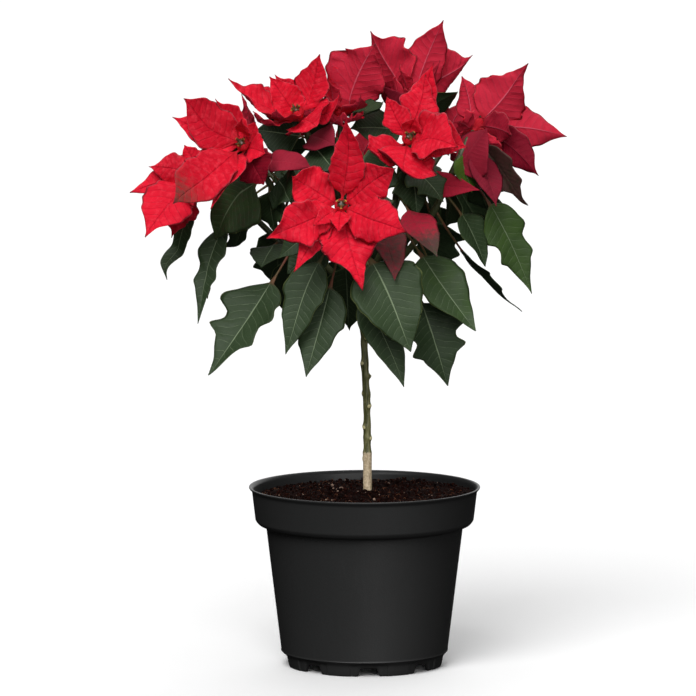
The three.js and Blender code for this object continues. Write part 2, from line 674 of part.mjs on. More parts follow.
// ---------------------------------------------------------------- the whole plant

const looks = {
  pot: new THREE.MeshStandardMaterial({ color: 0x17181a, roughness: 0.42, metalness: 0 }),
  soil: new THREE.MeshStandardMaterial({ color: 0x2a1a14, roughness: 0.95, metalness: 0 }),
  stem: new THREE.MeshStandardMaterial({ color: 0x6d5336, roughness: 0.8, metalness: 0 }),
  leaf: new THREE.MeshStandardMaterial({ color: 0x34502f, roughness: 0.55, metalness: 0 }),
  bract: new THREE.MeshStandardMaterial({ color: 0xc8142e, roughness: 0.6, metalness: 0 }),
  flower: new THREE.MeshStandardMaterial({ color: 0xb9b04a, roughness: 0.6, metalness: 0 }),
};

const group = new THREE.Group();
const trunkGuard = taperedTube(stemRows.map((r) => vec(r)), stemRows.map((r) => r[3] + gap), 6);
group.add(meshOf(makePot(), "pot", looks.pot));
group.add(meshOf(makeSoil(), "soil", looks.soil));
group.add(meshOf(makeTrunk(), "trunk", looks.stem));
for (const [name, shoot] of Object.entries(shoots)) {
  group.add(meshOf(makeBranch(shoot, leafRows[name], trunkGuard), "branch_" + name, looks.leaf));
  group.add(meshOf(makeBloom(shoot, bractRows[name]), "bloom_" + name, looks.bract));
  group.add(meshOf(makeFlowers(shoot), "cyathia_" + name, looks.flower));
}

// The plant stands with the middle of its spread over the origin.
const spread = new THREE.Box3().setFromObject(group).getCenter(new THREE.Vector3());
group.position.set(-spread.x, -spread.y, 0);

export default group;
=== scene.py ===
import bpy
import numpy as np
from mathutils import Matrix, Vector


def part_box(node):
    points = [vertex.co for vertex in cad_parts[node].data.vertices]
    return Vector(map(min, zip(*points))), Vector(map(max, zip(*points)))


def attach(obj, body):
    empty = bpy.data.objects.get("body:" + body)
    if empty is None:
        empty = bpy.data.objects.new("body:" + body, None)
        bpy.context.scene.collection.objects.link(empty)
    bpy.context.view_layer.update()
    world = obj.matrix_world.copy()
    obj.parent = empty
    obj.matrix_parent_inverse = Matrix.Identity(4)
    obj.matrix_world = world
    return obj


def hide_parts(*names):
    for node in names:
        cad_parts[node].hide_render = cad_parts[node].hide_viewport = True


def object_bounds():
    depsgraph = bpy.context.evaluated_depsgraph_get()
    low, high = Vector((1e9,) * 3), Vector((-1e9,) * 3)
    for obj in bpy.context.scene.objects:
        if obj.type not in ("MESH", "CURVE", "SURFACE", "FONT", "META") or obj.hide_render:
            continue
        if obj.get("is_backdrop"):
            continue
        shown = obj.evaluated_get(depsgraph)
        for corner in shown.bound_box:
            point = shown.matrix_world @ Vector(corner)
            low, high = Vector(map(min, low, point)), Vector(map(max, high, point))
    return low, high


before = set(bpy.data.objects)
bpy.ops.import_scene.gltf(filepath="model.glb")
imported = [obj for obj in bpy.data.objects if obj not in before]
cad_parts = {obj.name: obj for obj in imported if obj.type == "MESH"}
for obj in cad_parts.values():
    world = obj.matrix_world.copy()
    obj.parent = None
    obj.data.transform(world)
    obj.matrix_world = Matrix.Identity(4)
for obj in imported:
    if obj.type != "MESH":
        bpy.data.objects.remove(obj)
cadBox = [list(corner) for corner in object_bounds()]
potLow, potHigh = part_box("pot")
# Everything is laid out in millimetres round the pot's axis, and moved to the row frame at the end.
potAxis = np.array([(potLow.x + potHigh.x) / 2, (potLow.y + potHigh.y) / 2, potLow.z])
millimetre = 0.001
print("frame loaded,", len(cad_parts), "nodes, pot axis at", potAxis.round(4))


# Small sums on arrays.

def unit(v):
    # Each vector divided by its length.
    return v / np.maximum(np.linalg.norm(v, axis=-1, keepdims=True), 1e-9)


def roundAngles(count):
    # Equal steps once round.
    return 2 * np.pi * np.arange(count) / count


def bell(x, width):
    # One at nought, falling away on both sides within about the width.
    return np.exp(-((x / width) ** 2))


def smooth(low, high, x):
    # Nought below low and one above high, with an S between them.
    t = np.clip((x - low) / (high - low), 0, 1)
    return t * t * (3 - 2 * t)


def curveThrough(rows, at):
    # Cubic pieces through the rows, each with the slope between its neighbours at its ends.
    x, y = np.array(rows, float).T
    slope = np.gradient(y, x)
    k = np.clip(np.searchsorted(x, at, side="right") - 1, 0, len(x) - 2)
    width = x[k + 1] - x[k]
    t = np.clip((at - x[k]) / width, 0, 1)
    start = (2 * t**3 - 3 * t**2 + 1) * y[k] + (t**3 - 2 * t**2 + t) * width * slope[k]
    end = (3 * t**2 - 2 * t**3) * y[k + 1] + (t**3 - t**2) * width * slope[k + 1]
    return start + end


def latticeNoise(x, y, cell, seed):
    # Random heights at the corners of a square lattice, eased between them, from -1 to 1.
    size = 64
    values = np.random.default_rng(seed).uniform(-1, 1, (size, size))
    u, v = x / cell, y / cell
    i, j = np.floor(u).astype(int), np.floor(v).astype(int)
    s, t = smooth(0, 1, u - i), smooth(0, 1, v - j)
    corner = lambda a, b: values[(i + a) % size, (j + b) % size]
    near = corner(0, 0) * (1 - s) + corner(1, 0) * s
    far = corner(0, 1) * (1 - s) + corner(1, 1) * s
    return near * (1 - t) + far * t


# Meshes: a shell is its points, its faces by their number of corners, and values at its points.

def closedTube(rings, values=None):
    # Quads between neighbouring rings of points, and a fan from the middle of each end ring.
    # The points of a ring run anticlockwise seen from the last ring.
    count, around = rings.shape[:2]
    i, j = np.meshgrid(np.arange(count - 1), np.arange(around), indexing="ij")
    a, b = i * around + j, i * around + (j + 1) % around
    quads = np.stack([a, b, b + around, a + around], -1).reshape(-1, 4)
    j = np.arange(around)
    following = (j + 1) % around
    first, last = count * around, count * around + 1
    top = (count - 1) * around
    fans = np.vstack([
        np.stack([np.full(around, first), following, j], -1),
        np.stack([np.full(around, last), top + j, top + following], -1),
    ])
    flat = lambda g: np.vstack([g.reshape(-1, g.shape[-1]), g[0].mean(0), g[-1].mean(0)])
    return {
        "points": flat(rings),
        "faces": [quads, fans],
        "values": {key: flat(value) for key, value in (values or {}).items()},
    }


def joinShells(shells):
    # One shell that holds them all, its face numbers shifted by the points before.
    starts = np.cumsum([0] + [len(s["points"]) for s in shells])
    kinds = sorted({f.shape[1] for s in shells for f in s["faces"]})
    faces = [
        np.vstack([f + start for s, start in zip(shells, starts) for f in s["faces"] if f.shape[1] == k])
        for k in kinds
    ]
    keys = shells[0]["values"]
    values = {key: np.vstack([s["values"][key] for s in shells]) for key in keys}
    return {"points": np.vstack([s["points"] for s in shells]), "faces": faces, "values": values}


def makePiece(name, shells, material, replaced=()):
    # The shells as one smooth mesh in metres in the row frame, with their values as attributes.
    shell = joinShells(shells)
    corners = np.concatenate([f.ravel() for f in shell["faces"]])
    sizes = np.concatenate([np.full(len(f), f.shape[1]) for f in shell["faces"]])
    mesh = bpy.data.meshes.new(name)
    mesh.vertices.add(len(shell["points"]))
    mesh.vertices.foreach_set("co", (shell["points"] * millimetre + potAxis).astype(np.float32).ravel())
    mesh.loops.add(len(corners))
    mesh.loops.foreach_set("vertex_index", corners.astype(np.int32))
    mesh.polygons.add(len(sizes))
    mesh.polygons.foreach_set("loop_start", (np.cumsum(sizes) - sizes).astype(np.int32))
    mesh.update(calc_edges=True)
    mesh.shade_smooth()
    for key, value in shell["values"].items():
        attribute = mesh.attributes.new(key, "FLOAT_VECTOR", "POINT")
        attribute.data.foreach_set("vector", value.astype(np.float32).ravel())
    piece = bpy.data.objects.new(name, mesh)
    bpy.context.collection.objects.link(piece)
    mesh.materials.append(material)
    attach(piece, "root")
    if replaced:
        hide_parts(*replaced)
    return piece


def tubeRings(centres, radii, sides):
    # A circle of the given radius round each centre, square to the path, carried along without twist.
    along = unit(np.gradient(centres, axis=0))
    side = np.array([1.0, 0, 0]) if abs(along[0][2]) > 0.8 else np.array([0, 0, 1.0])
    frames = []
    for direction in along:
        side = unit(side - direction * (side @ direction))
        frames.append((side, np.cross(direction, side)))
    first, second = np.array(frames).transpose(1, 0, 2)[:, :, None]
    angle = roundAngles(sides)[None, :, None]
    circle = np.cos(angle) * first + np.sin(angle) * second
    return centres[:, None] + circle * np.broadcast_to(radii, len(centres))[:, None, None]


# Shader sums.

class Signal:
    # A socket of a node tree that takes part in Python expressions.
    def __init__(self, tree, socket):
        self.tree = tree
        self.socket = socket

    def node(self, kind, settings=None, sockets=None, out=0):
        # Settings are set first, then the values or links of the sockets.
        made = self.tree.nodes.new("ShaderNode" + kind)
        for key, value in (settings or {}).items():
            setattr(made, key, value)
        for key, value in (sockets or {}).items():
            if isinstance(value, Signal):
                self.tree.links.new(value.socket, made.inputs[key])
            else:
                made.inputs[key].default_value = value
        return Signal(self.tree, made.outputs[out])

    def sum(self, operation, *values):
        # One Math node.
        return self.node("Math", {"operation": operation}, dict(enumerate(values)))

    def __add__(self, other):
        return self.sum("ADD", self, other)

    def __radd__(self, other):
        return self.sum("ADD", other, self)

    def __sub__(self, other):
        return self.sum("SUBTRACT", self, other)

    def __rsub__(self, other):
        return self.sum("SUBTRACT", other, self)

    def __mul__(self, other):
        return self.sum("MULTIPLY", self, other)

    def __rmul__(self, other):
        return self.sum("MULTIPLY", other, self)

    def __abs__(self):
        return self.sum("ABSOLUTE", self)

    def fraction(self):
        # What is left over a whole number.
        return self.sum("FRACT", self)

    def step(self, low, high):
        # From nought at low to one at high; low may be the larger.
        settings = {"interpolation_type": "SMOOTHSTEP"}
        return self.node("MapRange", settings, {0: self, 1: low, 2: high, 3: 0.0, 4: 1.0})

    def clamped(self):
        # Held between nought and one.
        return self.node("Clamp", None, {0: self, 1: 0.0, 2: 1.0})

    def between(self, first, second):
        # The first colour where this is nought, the second where it is one.
        colour = lambda c: c if isinstance(c, Signal) else (*c, 1)
        return self.node("Mix", {"data_type": "RGBA"}, {0: self, 6: colour(first), 7: colour(second)}, 2)

    def stretched(self, scale):
        # The place with its axes scaled, for grain that runs one way.
        return self.node("Mapping", {"vector_type": "POINT"}, {"Vector": self, "Scale": scale})

    def noise(self, scale, detail=2.0, roughness=0.5):
        # Clouds about a metre over the scale wide, mostly from 0.3 to 0.7.
        sockets = {"Vector": self, "Scale": scale, "Detail": detail, "Roughness": roughness}
        return self.node("TexNoise", None, sockets)

    def cells(self, scale):
        # How far the place is from the walls between cells.
        return self.node("TexVoronoi", {"feature": "DISTANCE_TO_EDGE"}, {"Vector": self, "Scale": scale})

    def parts(self):
        # The three numbers of a vector.
        return [self.node("SeparateXYZ", None, {0: self}, k) for k in range(3)]

    def values(self, name):
        # The three numbers of a piece's own attribute.
        return self.node("Attribute", {"attribute_name": name}, None, 1).parts()


def startMaterial(name, roughness, **constants):
    # A Principled material with its constant sockets set, and the place on the object as a signal.
    material = bpy.data.materials.new(name)
    material.use_nodes = True
    tree = material.node_tree
    shader = tree.nodes["Principled BSDF"]
    shader.inputs["Roughness"].default_value = roughness
    for key, value in constants.items():
        shader.inputs[key.replace("_", " ")].default_value = value
    place = Signal(tree, tree.nodes.new("ShaderNodeTexCoord").outputs["Object"])
    return material, shader, place


def feed(shader, place, colour=None, roughness=None, height=None, depth=0.0003, strength=1.0):
    # Links what varies over the surface; the height goes through a Bump node, depth in metres.
    for key, signal in (("Base Color", colour), ("Roughness", roughness)):
        if signal is not None:
            place.tree.links.new(signal.socket, shader.inputs[key])
    if height is not None:
        bump = place.node("Bump", None, {"Height": height, "Distance": depth, "Strength": strength})
        place.tree.links.new(bump.socket, shader.inputs["Normal"])


# The pot.

potShape = {
    # Radius and height in millimetres, from the floor's underside out and up to the rim, and back down.
    "outside": [
        (58, 7), (60, 7), (60, 0), (64, 0), (65, 4), (66, 9), (68.4, 11.7), (68.95, 12.3), (68.6, 13),
        (80.8, 113.5), (81.2, 115.4), (87.5, 117.5), (89.8, 120.4), (92.6, 144.4), (95, 146.8), (95, 148),
    ],
    "inside": [
        (93.3, 148), (91.3, 145.6), (88.5, 121.2), (86.6, 119), (80.4, 116.6), (79.5, 114.2), (67, 12),
        (65, 9.2), (50, 9.2),
    ],
    "rounding": 1.1,
    "notches": 8,
    "firstNotch": -87,  # degrees round the axis
    "notchHeight": 6.6,
    "notchEnds": (5.2, 9),  # degrees from its middle at which it starts to close, and is closed
    "recessDepth": 0.9,
    "recessTop": 9.6,
    "recessEnds": (13.4, 14),
    "drainRing": 46,
    "drainRadius": 4.5,
    "drainSides": 28,
    "sharpFrom": 38,  # degrees between two faces from which their edge isn't smoothed
    "black": (0.023, 0.0233, 0.0233),
    "dusty": (0.033, 0.033, 0.033),
}


def roundCorners(profile, radius, steps=4):
    # Each corner becomes a small parabola between points a radius away on its two sides.
    p = np.array(profile, float)
    before, after = p[:-2] - p[1:-1], p[2:] - p[1:-1]
    reach = lambda d: d * np.minimum(radius / np.linalg.norm(d, axis=1), 0.42)[:, None]
    a, b = p[1:-1] + reach(before), p[1:-1] + reach(after)
    t = np.linspace(0, 1, steps)[None, :, None]
    arcs = a[:, None] * (1 - t) ** 2 + p[1:-1][:, None] * 2 * t * (1 - t) + b[:, None] * t**2
    return np.vstack([p[:1], arcs.reshape(-1, 2), p[-1:]])


def notchAngles(shape):
    # The middles of the notches, in degrees round the axis.
    return shape["firstNotch"] + 360 / shape["notches"] * np.arange(shape["notches"])


def potShell(shape):
    # A profile turned round the axis. Near the notches the foot's points rise, and the wall over them
    # is pressed in by the recess; both are functions of the angle from the nearest notch.
    # Columns of points at these degrees from a notch's middle, closest together at its ends.
    nearNotch = [0, 1.8, 3.6, 5, 5.6, 6.2, 6.9, 7.6, 8.3, 9, 10.5, 12, 13.3, 14.1]
    betweenNotches = [15.5, 17, 18.5, 20, 21.4]
    oneSide = np.array(nearNotch + betweenNotches, float)
    sector = np.concatenate([-oneSide[:0:-1], oneSide])
    angle = np.radians((notchAngles(shape)[:, None] + sector[None]).ravel())
    away = np.tile(np.abs(sector), shape["notches"])
    profile = roundCorners(shape["outside"] + shape["inside"], shape["rounding"])
    r, z = profile[:, 0][:, None], profile[:, 1][:, None]
    outerPoints = len(profile) // 2 + 8  # as far as the lip
    outer = np.arange(len(profile))[:, None] < outerPoints
    insideFoot = r < 61
    footTop = np.where(insideFoot, 7.0, 12.0)
    rise = shape["notchHeight"] * (1 - smooth(*shape["notchEnds"], away))[None]
    height = np.where(outer & (z < footTop), rise + z * (footTop - rise) / footTop, z)
    sideways = (1 - smooth(*shape["recessEnds"], away))[None]
    upwards = 1 - smooth(0, 0.8, height - shape["recessTop"])
    pressed = shape["recessDepth"] * sideways * upwards
    radius = r - np.where(outer & ~insideFoot & (z < 13), pressed, 0)
    rings = np.stack([radius * np.cos(angle), radius * np.sin(angle), height + 0 * angle], -1)
    return closedTube(rings)


def blackPlastic(shape):
    # Satin black plastic: faint orange peel, a slightly uneven gloss, dust in streaks and blotches.
    material, shader, place = startMaterial("blackPlastic", 0.4, Specular_IOR_Level=0.4)
    cloud = place.noise(9, 3)
    peel = place.noise(900, 2)
    scuffs = place.stretched((1, 1, 0.12)).noise(260, 4, 0.7)
    dust = scuffs.step(0.62, 0.8) * 0.35 + cloud.step(0.45, 0.75) * 0.25
    colour = dust.between(shape["black"], shape["dusty"])
    feed(shader, place, colour, cloud * 0.12 + scuffs * 0.1 + 0.3, peel + scuffs * 0.6, 0.00012, 0.5)
    return material


def drillPot(pot, shape):
    # The drain holes are cut through the floor, midway between the notches.
    angle = np.radians(notchAngles(shape) + 180 / shape["notches"])
    pin = np.array([[0, 0, 4.0], [0, 0, 8.0], [0, 0, 12.0]])  # from below the floor to above it
    places = shape["drainRing"] * np.stack([np.cos(angle), np.sin(angle), 0 * angle], -1)
    pins = [closedTube(tubeRings(pin + at, shape["drainRadius"], shape["drainSides"])) for at in places]
    cutter = makePiece("drainPins", pins, pot.data.materials[0])
    cut = pot.modifiers.new("drainHoles", "BOOLEAN")
    cut.object = cutter
    cut.solver = "EXACT"
    bpy.context.view_layer.update()
    drilled = bpy.data.meshes.new_from_object(pot.evaluated_get(bpy.context.evaluated_depsgraph_get()))
    pot.modifiers.remove(cut)
    pot.data = drilled
    drilled.set_sharp_from_angle(angle=np.radians(shape["sharpFrom"]))
    bpy.data.objects.remove(cutter)


pot = makePiece("potShell", [potShell(potShape)], blackPlastic(potShape), ["pot"])
drillPot(pot, potShape)
print("pot:", len(pot.data.polygons), "faces")


# The peat.

peatShape = {
    "top": 145.2,  # the height in its middle
    "fall": 4.2,  # from there to the wall
    "crumbsInSurface": [(7.0, 1.3), (3.1, 1.0), (1.5, 0.6)],  # how wide, how high
    "points": 200,  # round each ring
    "wall": [(64.5, 9.6), (66.6, 12.6), (79.0, 114.2), (79.8, 117), (86.2, 119.6), (88.0, 122)],
    "stem": (2.5, 4.0),  # where it stands to the right of the axis, and the hole's radius
    "crumbs": 1700,
    "crumbSize": (0.5, 2.0),
    "paleGrains": 0.035,  # their share of the crumbs
    "fibres": 260,
    "fibreLength": (1.2, 4.8),
    "fibreRadius": (0.08, 0.17),
    "seed": 11,
    "mud": ((0.002, 0.0008, 0.0006), (0.012, 0.003, 0.002)),
    "crumb": ((0.002, 0.0007, 0.0005), (0.022, 0.005, 0.003)),
    "rust": (0.1, 0.025, 0.015),
    "straw": ((0.05, 0.01, 0.005), (0.2, 0.085, 0.045)),
    "grain": (0.3, 0.2, 0.15),
}


def soilHeight(x, y):
    # A low heap round the stem, lower at the back and left, with three crossing waves for its lumps.
    far = np.hypot(x, y) / 90
    lumps = 1.1 * np.sin(0.21 * x + 1.3) * np.cos(0.17 * y - 0.6)
    lumps = lumps + 0.8 * np.sin(0.39 * x - 0.33 * y + 2.1) + 0.5 * np.sin(0.55 * y + 0.47 * x)
    heap = peatShape["top"] - peatShape["fall"] * far**2 + 0.018 * x - 0.016 * y
    return heap + lumps * smooth(0.06, 0.25, far)


def peatSurface(x, y):
    # The heap with crumbs of three sizes, each a random lattice's heights without their signs.
    height = soilHeight(x, y)
    for cell, size in peatShape["crumbsInSurface"]:
        height = height + size * (np.abs(latticeNoise(x, y, cell, int(cell * 10))) - 0.35)
    return height


def peatShell(shape):
    # Rings from the pot's floor up its wall, then across the top to the stem and down beside it.
    angle = roundAngles(shape["points"])
    x, y = np.cos(angle), np.sin(angle)
    sides = [np.stack([r * x, r * y, z + 0 * x], -1) for r, z in shape["wall"]]
    stemX, holeRadius = shape["stem"]
    across = np.concatenate([np.linspace(89.6, 8, 92), np.array([6.5, 5.2, 4.4])])
    shift = stemX * (1 - smooth(20, 60, across))[:, None]
    topX, topY = across[:, None] * x + shift, across[:, None] * y
    rim = smooth(89.6, 87.5, across)[:, None]
    height = peatSurface(topX, topY) * rim + soilHeight(topX, topY) * (1 - rim)
    hole = np.stack([holeRadius * x + stemX, holeRadius * y, 100 + 0 * x], -1)[None]
    rings = np.concatenate([sides, np.stack([topX, topY, height], -1), hole])
    return closedTube(rings, {"peatLook": np.zeros((*rings.shape[:2], 3))})


def crumbShells(shape):
    # Lumps are twenty-faced balls with their corners moved at random, sunk by a third into the peat.
    rng = np.random.default_rng(shape["seed"])
    g = (1 + 5**0.5) / 2
    corners = unit(np.array([
        (-1, g, 0), (1, g, 0), (-1, -g, 0), (1, -g, 0), (0, -1, g), (0, 1, g), (0, -1, -g), (0, 1, -g),
        (g, 0, -1), (g, 0, 1), (-g, 0, -1), (-g, 0, 1),
    ], float))
    ball = np.array([
        (0, 11, 5), (0, 5, 1), (0, 1, 7), (0, 7, 10), (0, 10, 11), (1, 5, 9), (5, 11, 4), (11, 10, 2),
        (10, 7, 6), (7, 1, 8), (3, 9, 4), (3, 4, 2), (3, 2, 6), (3, 6, 8), (3, 8, 9), (4, 9, 5),
        (2, 4, 11), (6, 2, 10), (8, 6, 7), (9, 8, 1),
    ])
    n = shape["crumbs"]
    small, large = shape["crumbSize"]
    r = 6 + 80 * np.sqrt(rng.uniform(0, 1, n))
    a = rng.uniform(0, 2 * np.pi, n)
    x, y = r * np.cos(a), r * np.sin(a)
    size = small + (large - small) * rng.uniform(0, 1, n) ** 3
    squash = rng.uniform(0.55, 1, (n, 1, 3))
    rough = 1 + rng.uniform(-0.28, 0.28, (n, 12, 1))
    points = corners[None] * rough * squash * size[:, None, None]
    points = points + np.stack([x, y, soilHeight(x, y) + 0.3 + 0.3 * size], -1)[:, None]
    faces = ball[None] + 12 * np.arange(n)[:, None, None]
    tone, pale = rng.uniform(0.1, 1, n), (rng.uniform(0, 1, n) < shape["paleGrains"]) * 1.0
    look = np.stack([tone, pale, 0 * x], -1)
    return {
        "points": points.reshape(-1, 3),
        "faces": [faces.reshape(-1, 3)],
        "values": {"peatLook": np.repeat(look, 12, axis=0)},
    }


def fibreShell(shape, rng):
    # A thin bent thread, laid on the peat with its middle a little raised.
    r, a, turn = 7 + 78 * rng.uniform() ** 0.5, rng.uniform(0, 2 * np.pi), rng.uniform(0, 2 * np.pi)
    length = rng.uniform(*shape["fibreLength"])
    t = np.linspace(-0.5, 0.5, 6)
    x = r * np.cos(a) + length * t * np.cos(turn) + rng.uniform(-2, 2) * t**2
    y = r * np.sin(a) + length * t * np.sin(turn) + rng.uniform(-4, 4) * t**2
    keep = np.minimum(1, 85 / np.hypot(x, y))
    x, y = x * keep, y * keep
    z = peatSurface(x, y) + 0.5 + rng.uniform(0, 1.6) * (0.25 - t**2) * 4
    radius = rng.uniform(*shape["fibreRadius"]) * (1 - 1.6 * t**2)
    rings = tubeRings(np.stack([x, y, z], -1), radius, 4)
    look = np.array([rng.uniform(0.2, 1), 0, 1.0]) * np.ones((*rings.shape[:2], 1))
    return closedTube(rings, {"peatLook": look})


def pottingPeat(shape):
    # Dark red-brown peat: crumbs in several browns, some pale grains, and threads from rust to straw.
    material, shader, place = startMaterial("pottingPeat", 0.9, Specular_IOR_Level=0.05)
    tone, grain, thread = place.values("peatLook")
    mottle = place.noise(420, 3, 0.7)
    mud = mottle.step(0.35, 0.7).between(*shape["mud"])
    crumb = tone.step(0.1, 1.1).between(*shape["crumb"])
    colour = (tone.step(0.0, 0.15) * 0.75).between(mud, crumb)
    colour = place.noise(1500, 2).step(0.66, 0.74).between(colour, shape["rust"])
    colour = thread.step(0.4, 0.6).between(colour, tone.between(*shape["straw"]))
    colour = grain.step(0.4, 0.6).between(colour, shape["grain"])
    feed(shader, place, colour, None, mottle + place.noise(1600, 3, 0.7) * 0.5, 0.0007, 0.9)
    return material


fibreRng = np.random.default_rng(peatShape["seed"] + 1)
fibres = [fibreShell(peatShape, fibreRng) for _ in range(peatShape["fibres"])]
peatShells = [peatShell(peatShape), crumbShells(peatShape)] + fibres
peat = makePiece("peatBed", peatShells, pottingPeat(peatShape), ["soil"])
print("peat:", len(peat.data.polygons), "faces")


# The bare stem.

stemShape = {
    # Middle line in x and y, height and radius of the stem and its leader.
    "rows": np.array([
        [2.5, 0, 75.4, 3.3], [2.5, 0, 120, 3.6], [2.5, 0, 143, 3.65], [2.4, 0, 160, 3.55],
        [2.4, 0, 173, 3.6], [2.3, 0, 176, 3.7], [2.3, 0, 178, 3.25], [2.2, 0, 186, 3.15],
        [2.3, 0, 188.5, 3.45], [2.2, 0, 191, 3.15], [2.1, 0, 196, 3.2], [1.9, 0, 198, 3.45],
        [2.1, 0, 200.5, 3.15], [2, 0, 213, 3.1], [2.2, 0, 215, 3.4], [1.9, 0, 217, 3.1],
        [1.6, 0, 225.5, 3.35], [1.3, 0, 228, 3.1], [0.9, 0, 237, 3.1], [1.1, 0, 239.5, 3.4],
        [0.6, 0, 242, 3.1], [0.1, 0, 250, 3.4], [0.2, 0, 253, 3.1], [-0.1, 0, 269, 3.2],
        [0.3, 0, 271.5, 3.45], [-0.6, 0.3, 276, 3.15], [-1.5, 1, 288, 3.2], [-1, 3, 305, 3.2],
        [1, 6, 328, 3.1], [2.6, 8.4, 345, 2.9], [3, 9, 352, 2.4],
    ]),
    # Leaf scars: height, angle round the stem in degrees, how far they stand out, how pale they are.
    "scars": [
        (171, 185, 0.7, 0.4), (188, -30, 0.8, 0.8), (197, 215, 0.9, 0.9), (214.6, -55, 1.0, 1.2),
        (225, 186, 0.8, 0.6), (239, -2, 1.2, 0.4), (250, 222, 0.9, 1.3), (262, 70, 0.7, 0.6),
        (271, -62, 1.0, 1.0), (279, 130, 0.8, 0.6), (206, 90, 0.7, 0.5), (232, 110, 0.7, 0.5),
        (181, 60, 0.6, 0.4),
    ],
    "corkEnds": (172, 180),  # heights between which the corky foot gives way to skin
    "ledge": 0.35,
    "ribs": 0.16,
    "crackle": 0.15,
    "rings": 420,
    "sides": 44,
    "skin": ((0.07, 0.075, 0.02), (0.27, 0.26, 0.11)),
    "paleSkin": (0.28, 0.27, 0.14),
    "wood": ((0.45, 0.34, 0.2), (0.8, 0.66, 0.46)),
    "darkWood": (0.13, 0.075, 0.04),
    "scar": (0.75, 0.68, 0.36),
    # The dark green of the painted shade on the twigs inside the crown.
    "twigShade": (0.022, 0.032, 0.012),
}


def stemAt(z):
    # The point of the middle line at a height.
    rows = stemShape["rows"]
    return np.array([np.interp(z, rows[:, 2], rows[:, k]) for k in range(3)])


def stemShell(shape):
    # A tube whose radius follows the rows, with bell-shaped scars, long ribs and a crackled base.
    rows = shape["rows"]
    z = np.linspace(rows[0, 2], rows[-1, 2], shape["rings"])
    angle = roundAngles(shape["sides"])
    middle = np.stack([curveThrough(rows[:, [2, k]], z) for k in range(2)] + [z], -1)
    radius = curveThrough(rows[:, [2, 3]], z)[:, None] + 0 * angle
    pale = 0 * radius
    for height, turn, out, light in shape["scars"]:
        apart = np.angle(np.exp(1j * (angle - np.radians(turn))))
        scar = bell(z - height, 1.5)[:, None] * bell(apart, 0.6)
        ledge = bell(z - height + 1.6, 0.7)[:, None] * bell(apart, 0.7)
        radius = radius + out * scar + shape["ledge"] * ledge
        pale = np.maximum(pale, light * smooth(0.2, 0.7, scar))
    cork = 1 - smooth(*shape["corkEnds"], z)[:, None]
    turnAt, heightAt = angle[None] + 0 * z[:, None], z[:, None] + 0 * angle
    ribs = latticeNoise(turnAt * 2.2, heightAt / 26, 1.0, 5)
    crackle = latticeNoise(turnAt * 5, heightAt / 2.4, 1.0, 6)
    seamless = np.minimum(1, np.minimum(angle, 2 * np.pi - angle) / 0.6)
    radius = radius + (shape["ribs"] * ribs + shape["crackle"] * crackle * cork) * seamless
    ring = np.stack([np.cos(angle), np.sin(angle), 0 * angle], -1)
    rings = middle[:, None] + radius[:, :, None] * ring[None]
    return closedTube(rings, {"stemLook": np.stack([pale, cork + 0 * pale, 0 * pale], -1)})


def youngBark(shape):
    # Brown-green skin with long pale streaks over a corky tan base; the scars are the colour of straw,
    # and the twigs in the crown are darkened towards dark green as painted shade.
    material, shader, place = startMaterial("youngBark", 0.42)
    pale, cork, twigShade = place.values("stemLook")
    streak = place.stretched((1, 1, 0.1)).noise(700, 3, 0.6)
    spots = place.noise(500, 3, 0.7)
    skin = streak.step(0.35, 0.68).between(*shape["skin"])
    skin = spots.step(0.6, 0.72).between(skin, shape["paleSkin"])
    wood = spots.step(0.3, 0.7).between(*shape["wood"])
    wood = streak.step(0.63, 0.75).between(wood, shape["darkWood"])
    colour = (cork + (spots - 0.5) * 0.5).step(0.3, 0.7).between(skin, wood)
    colour = pale.step(0.15, 0.55).between(colour, shape["scar"])
    # Painted shade: the twigs inside the crown go towards dark green, a little streaked.
    colour = (twigShade * (streak.step(0.3, 0.7) * 0.3 + 0.6)).between(colour, shape["twigShade"])
    feed(shader, place, colour, None, streak + spots * 0.6, 0.0005, 0.7)
    return material


barkMaterial = youngBark(stemShape)
stem = makePiece("bareStem", [stemShell(stemShape)], barkMaterial, ["trunk"])
print("stem:", len(stem.data.polygons), "faces")


# Shoots, bracts and leaves.

def shootAt(middle, faces, foot, droop):
    # A shoot's own frame: front is the way its bloom faces, x is level and y runs up across it. Its
    # site stands for it among its neighbours.
    centre, front = np.array(middle, float), unit(np.array(faces, float))
    x = unit(np.cross([0, 0, 1], front))
    return {
        "centre": centre, "front": front, "x": x, "y": np.cross(front, x),
        "site": centre + 20 * front, "foot": foot, "droop": droop,
    }


# Each shoot: its middle, the way its bloom faces, the height at which its branch leaves the stem,
# and how far its bracts may droop behind their plane for each millimetre out.
shoots = {
    "front": shootAt((-19, -105, 391), (0, -0.93, 0.36), 284, 0.1),
    "right_front": shootAt((36, -55, 441), (0.2, -0.8, 0.56), 321, 0.12),
    "left": shootAt((-100, -55, 436), (-0.38, -0.78, 0.5), 305, 0.14),
    "far_left": shootAt((-138, -12, 409), (-0.6, -0.7, 0.4), 297, 0.3),
    "upper_left": shootAt((-56, -12, 459), (-0.4, -0.42, 0.81), 327.5, 0.12),
    "middle": shootAt((-20, 28, 458), (0, 0.05, 1), 349, 0.22),
    "top": shootAt((38, 52, 470), (0.05, 0.6, 0.8), 342, 0.3),
    "right": shootAt((95, 2, 449), (0.45, 0.68, 0.58), 312, 0.22),
    "upper_back": shootAt((-40, 88, 444), (-0.25, 0.62, 0.74), 335, 0.35),
    "back": shootAt((-12, 122, 398), (-0.05, 0.93, 0.36), 291, 0.3),
    "back_left": shootAt((-94, 72, 412), (-0.66, 0.6, 0.45), 314, 0.3),
    "back_right": shootAt((72, 86, 424), (0.5, 0.7, 0.5), 299, 0.3),
}


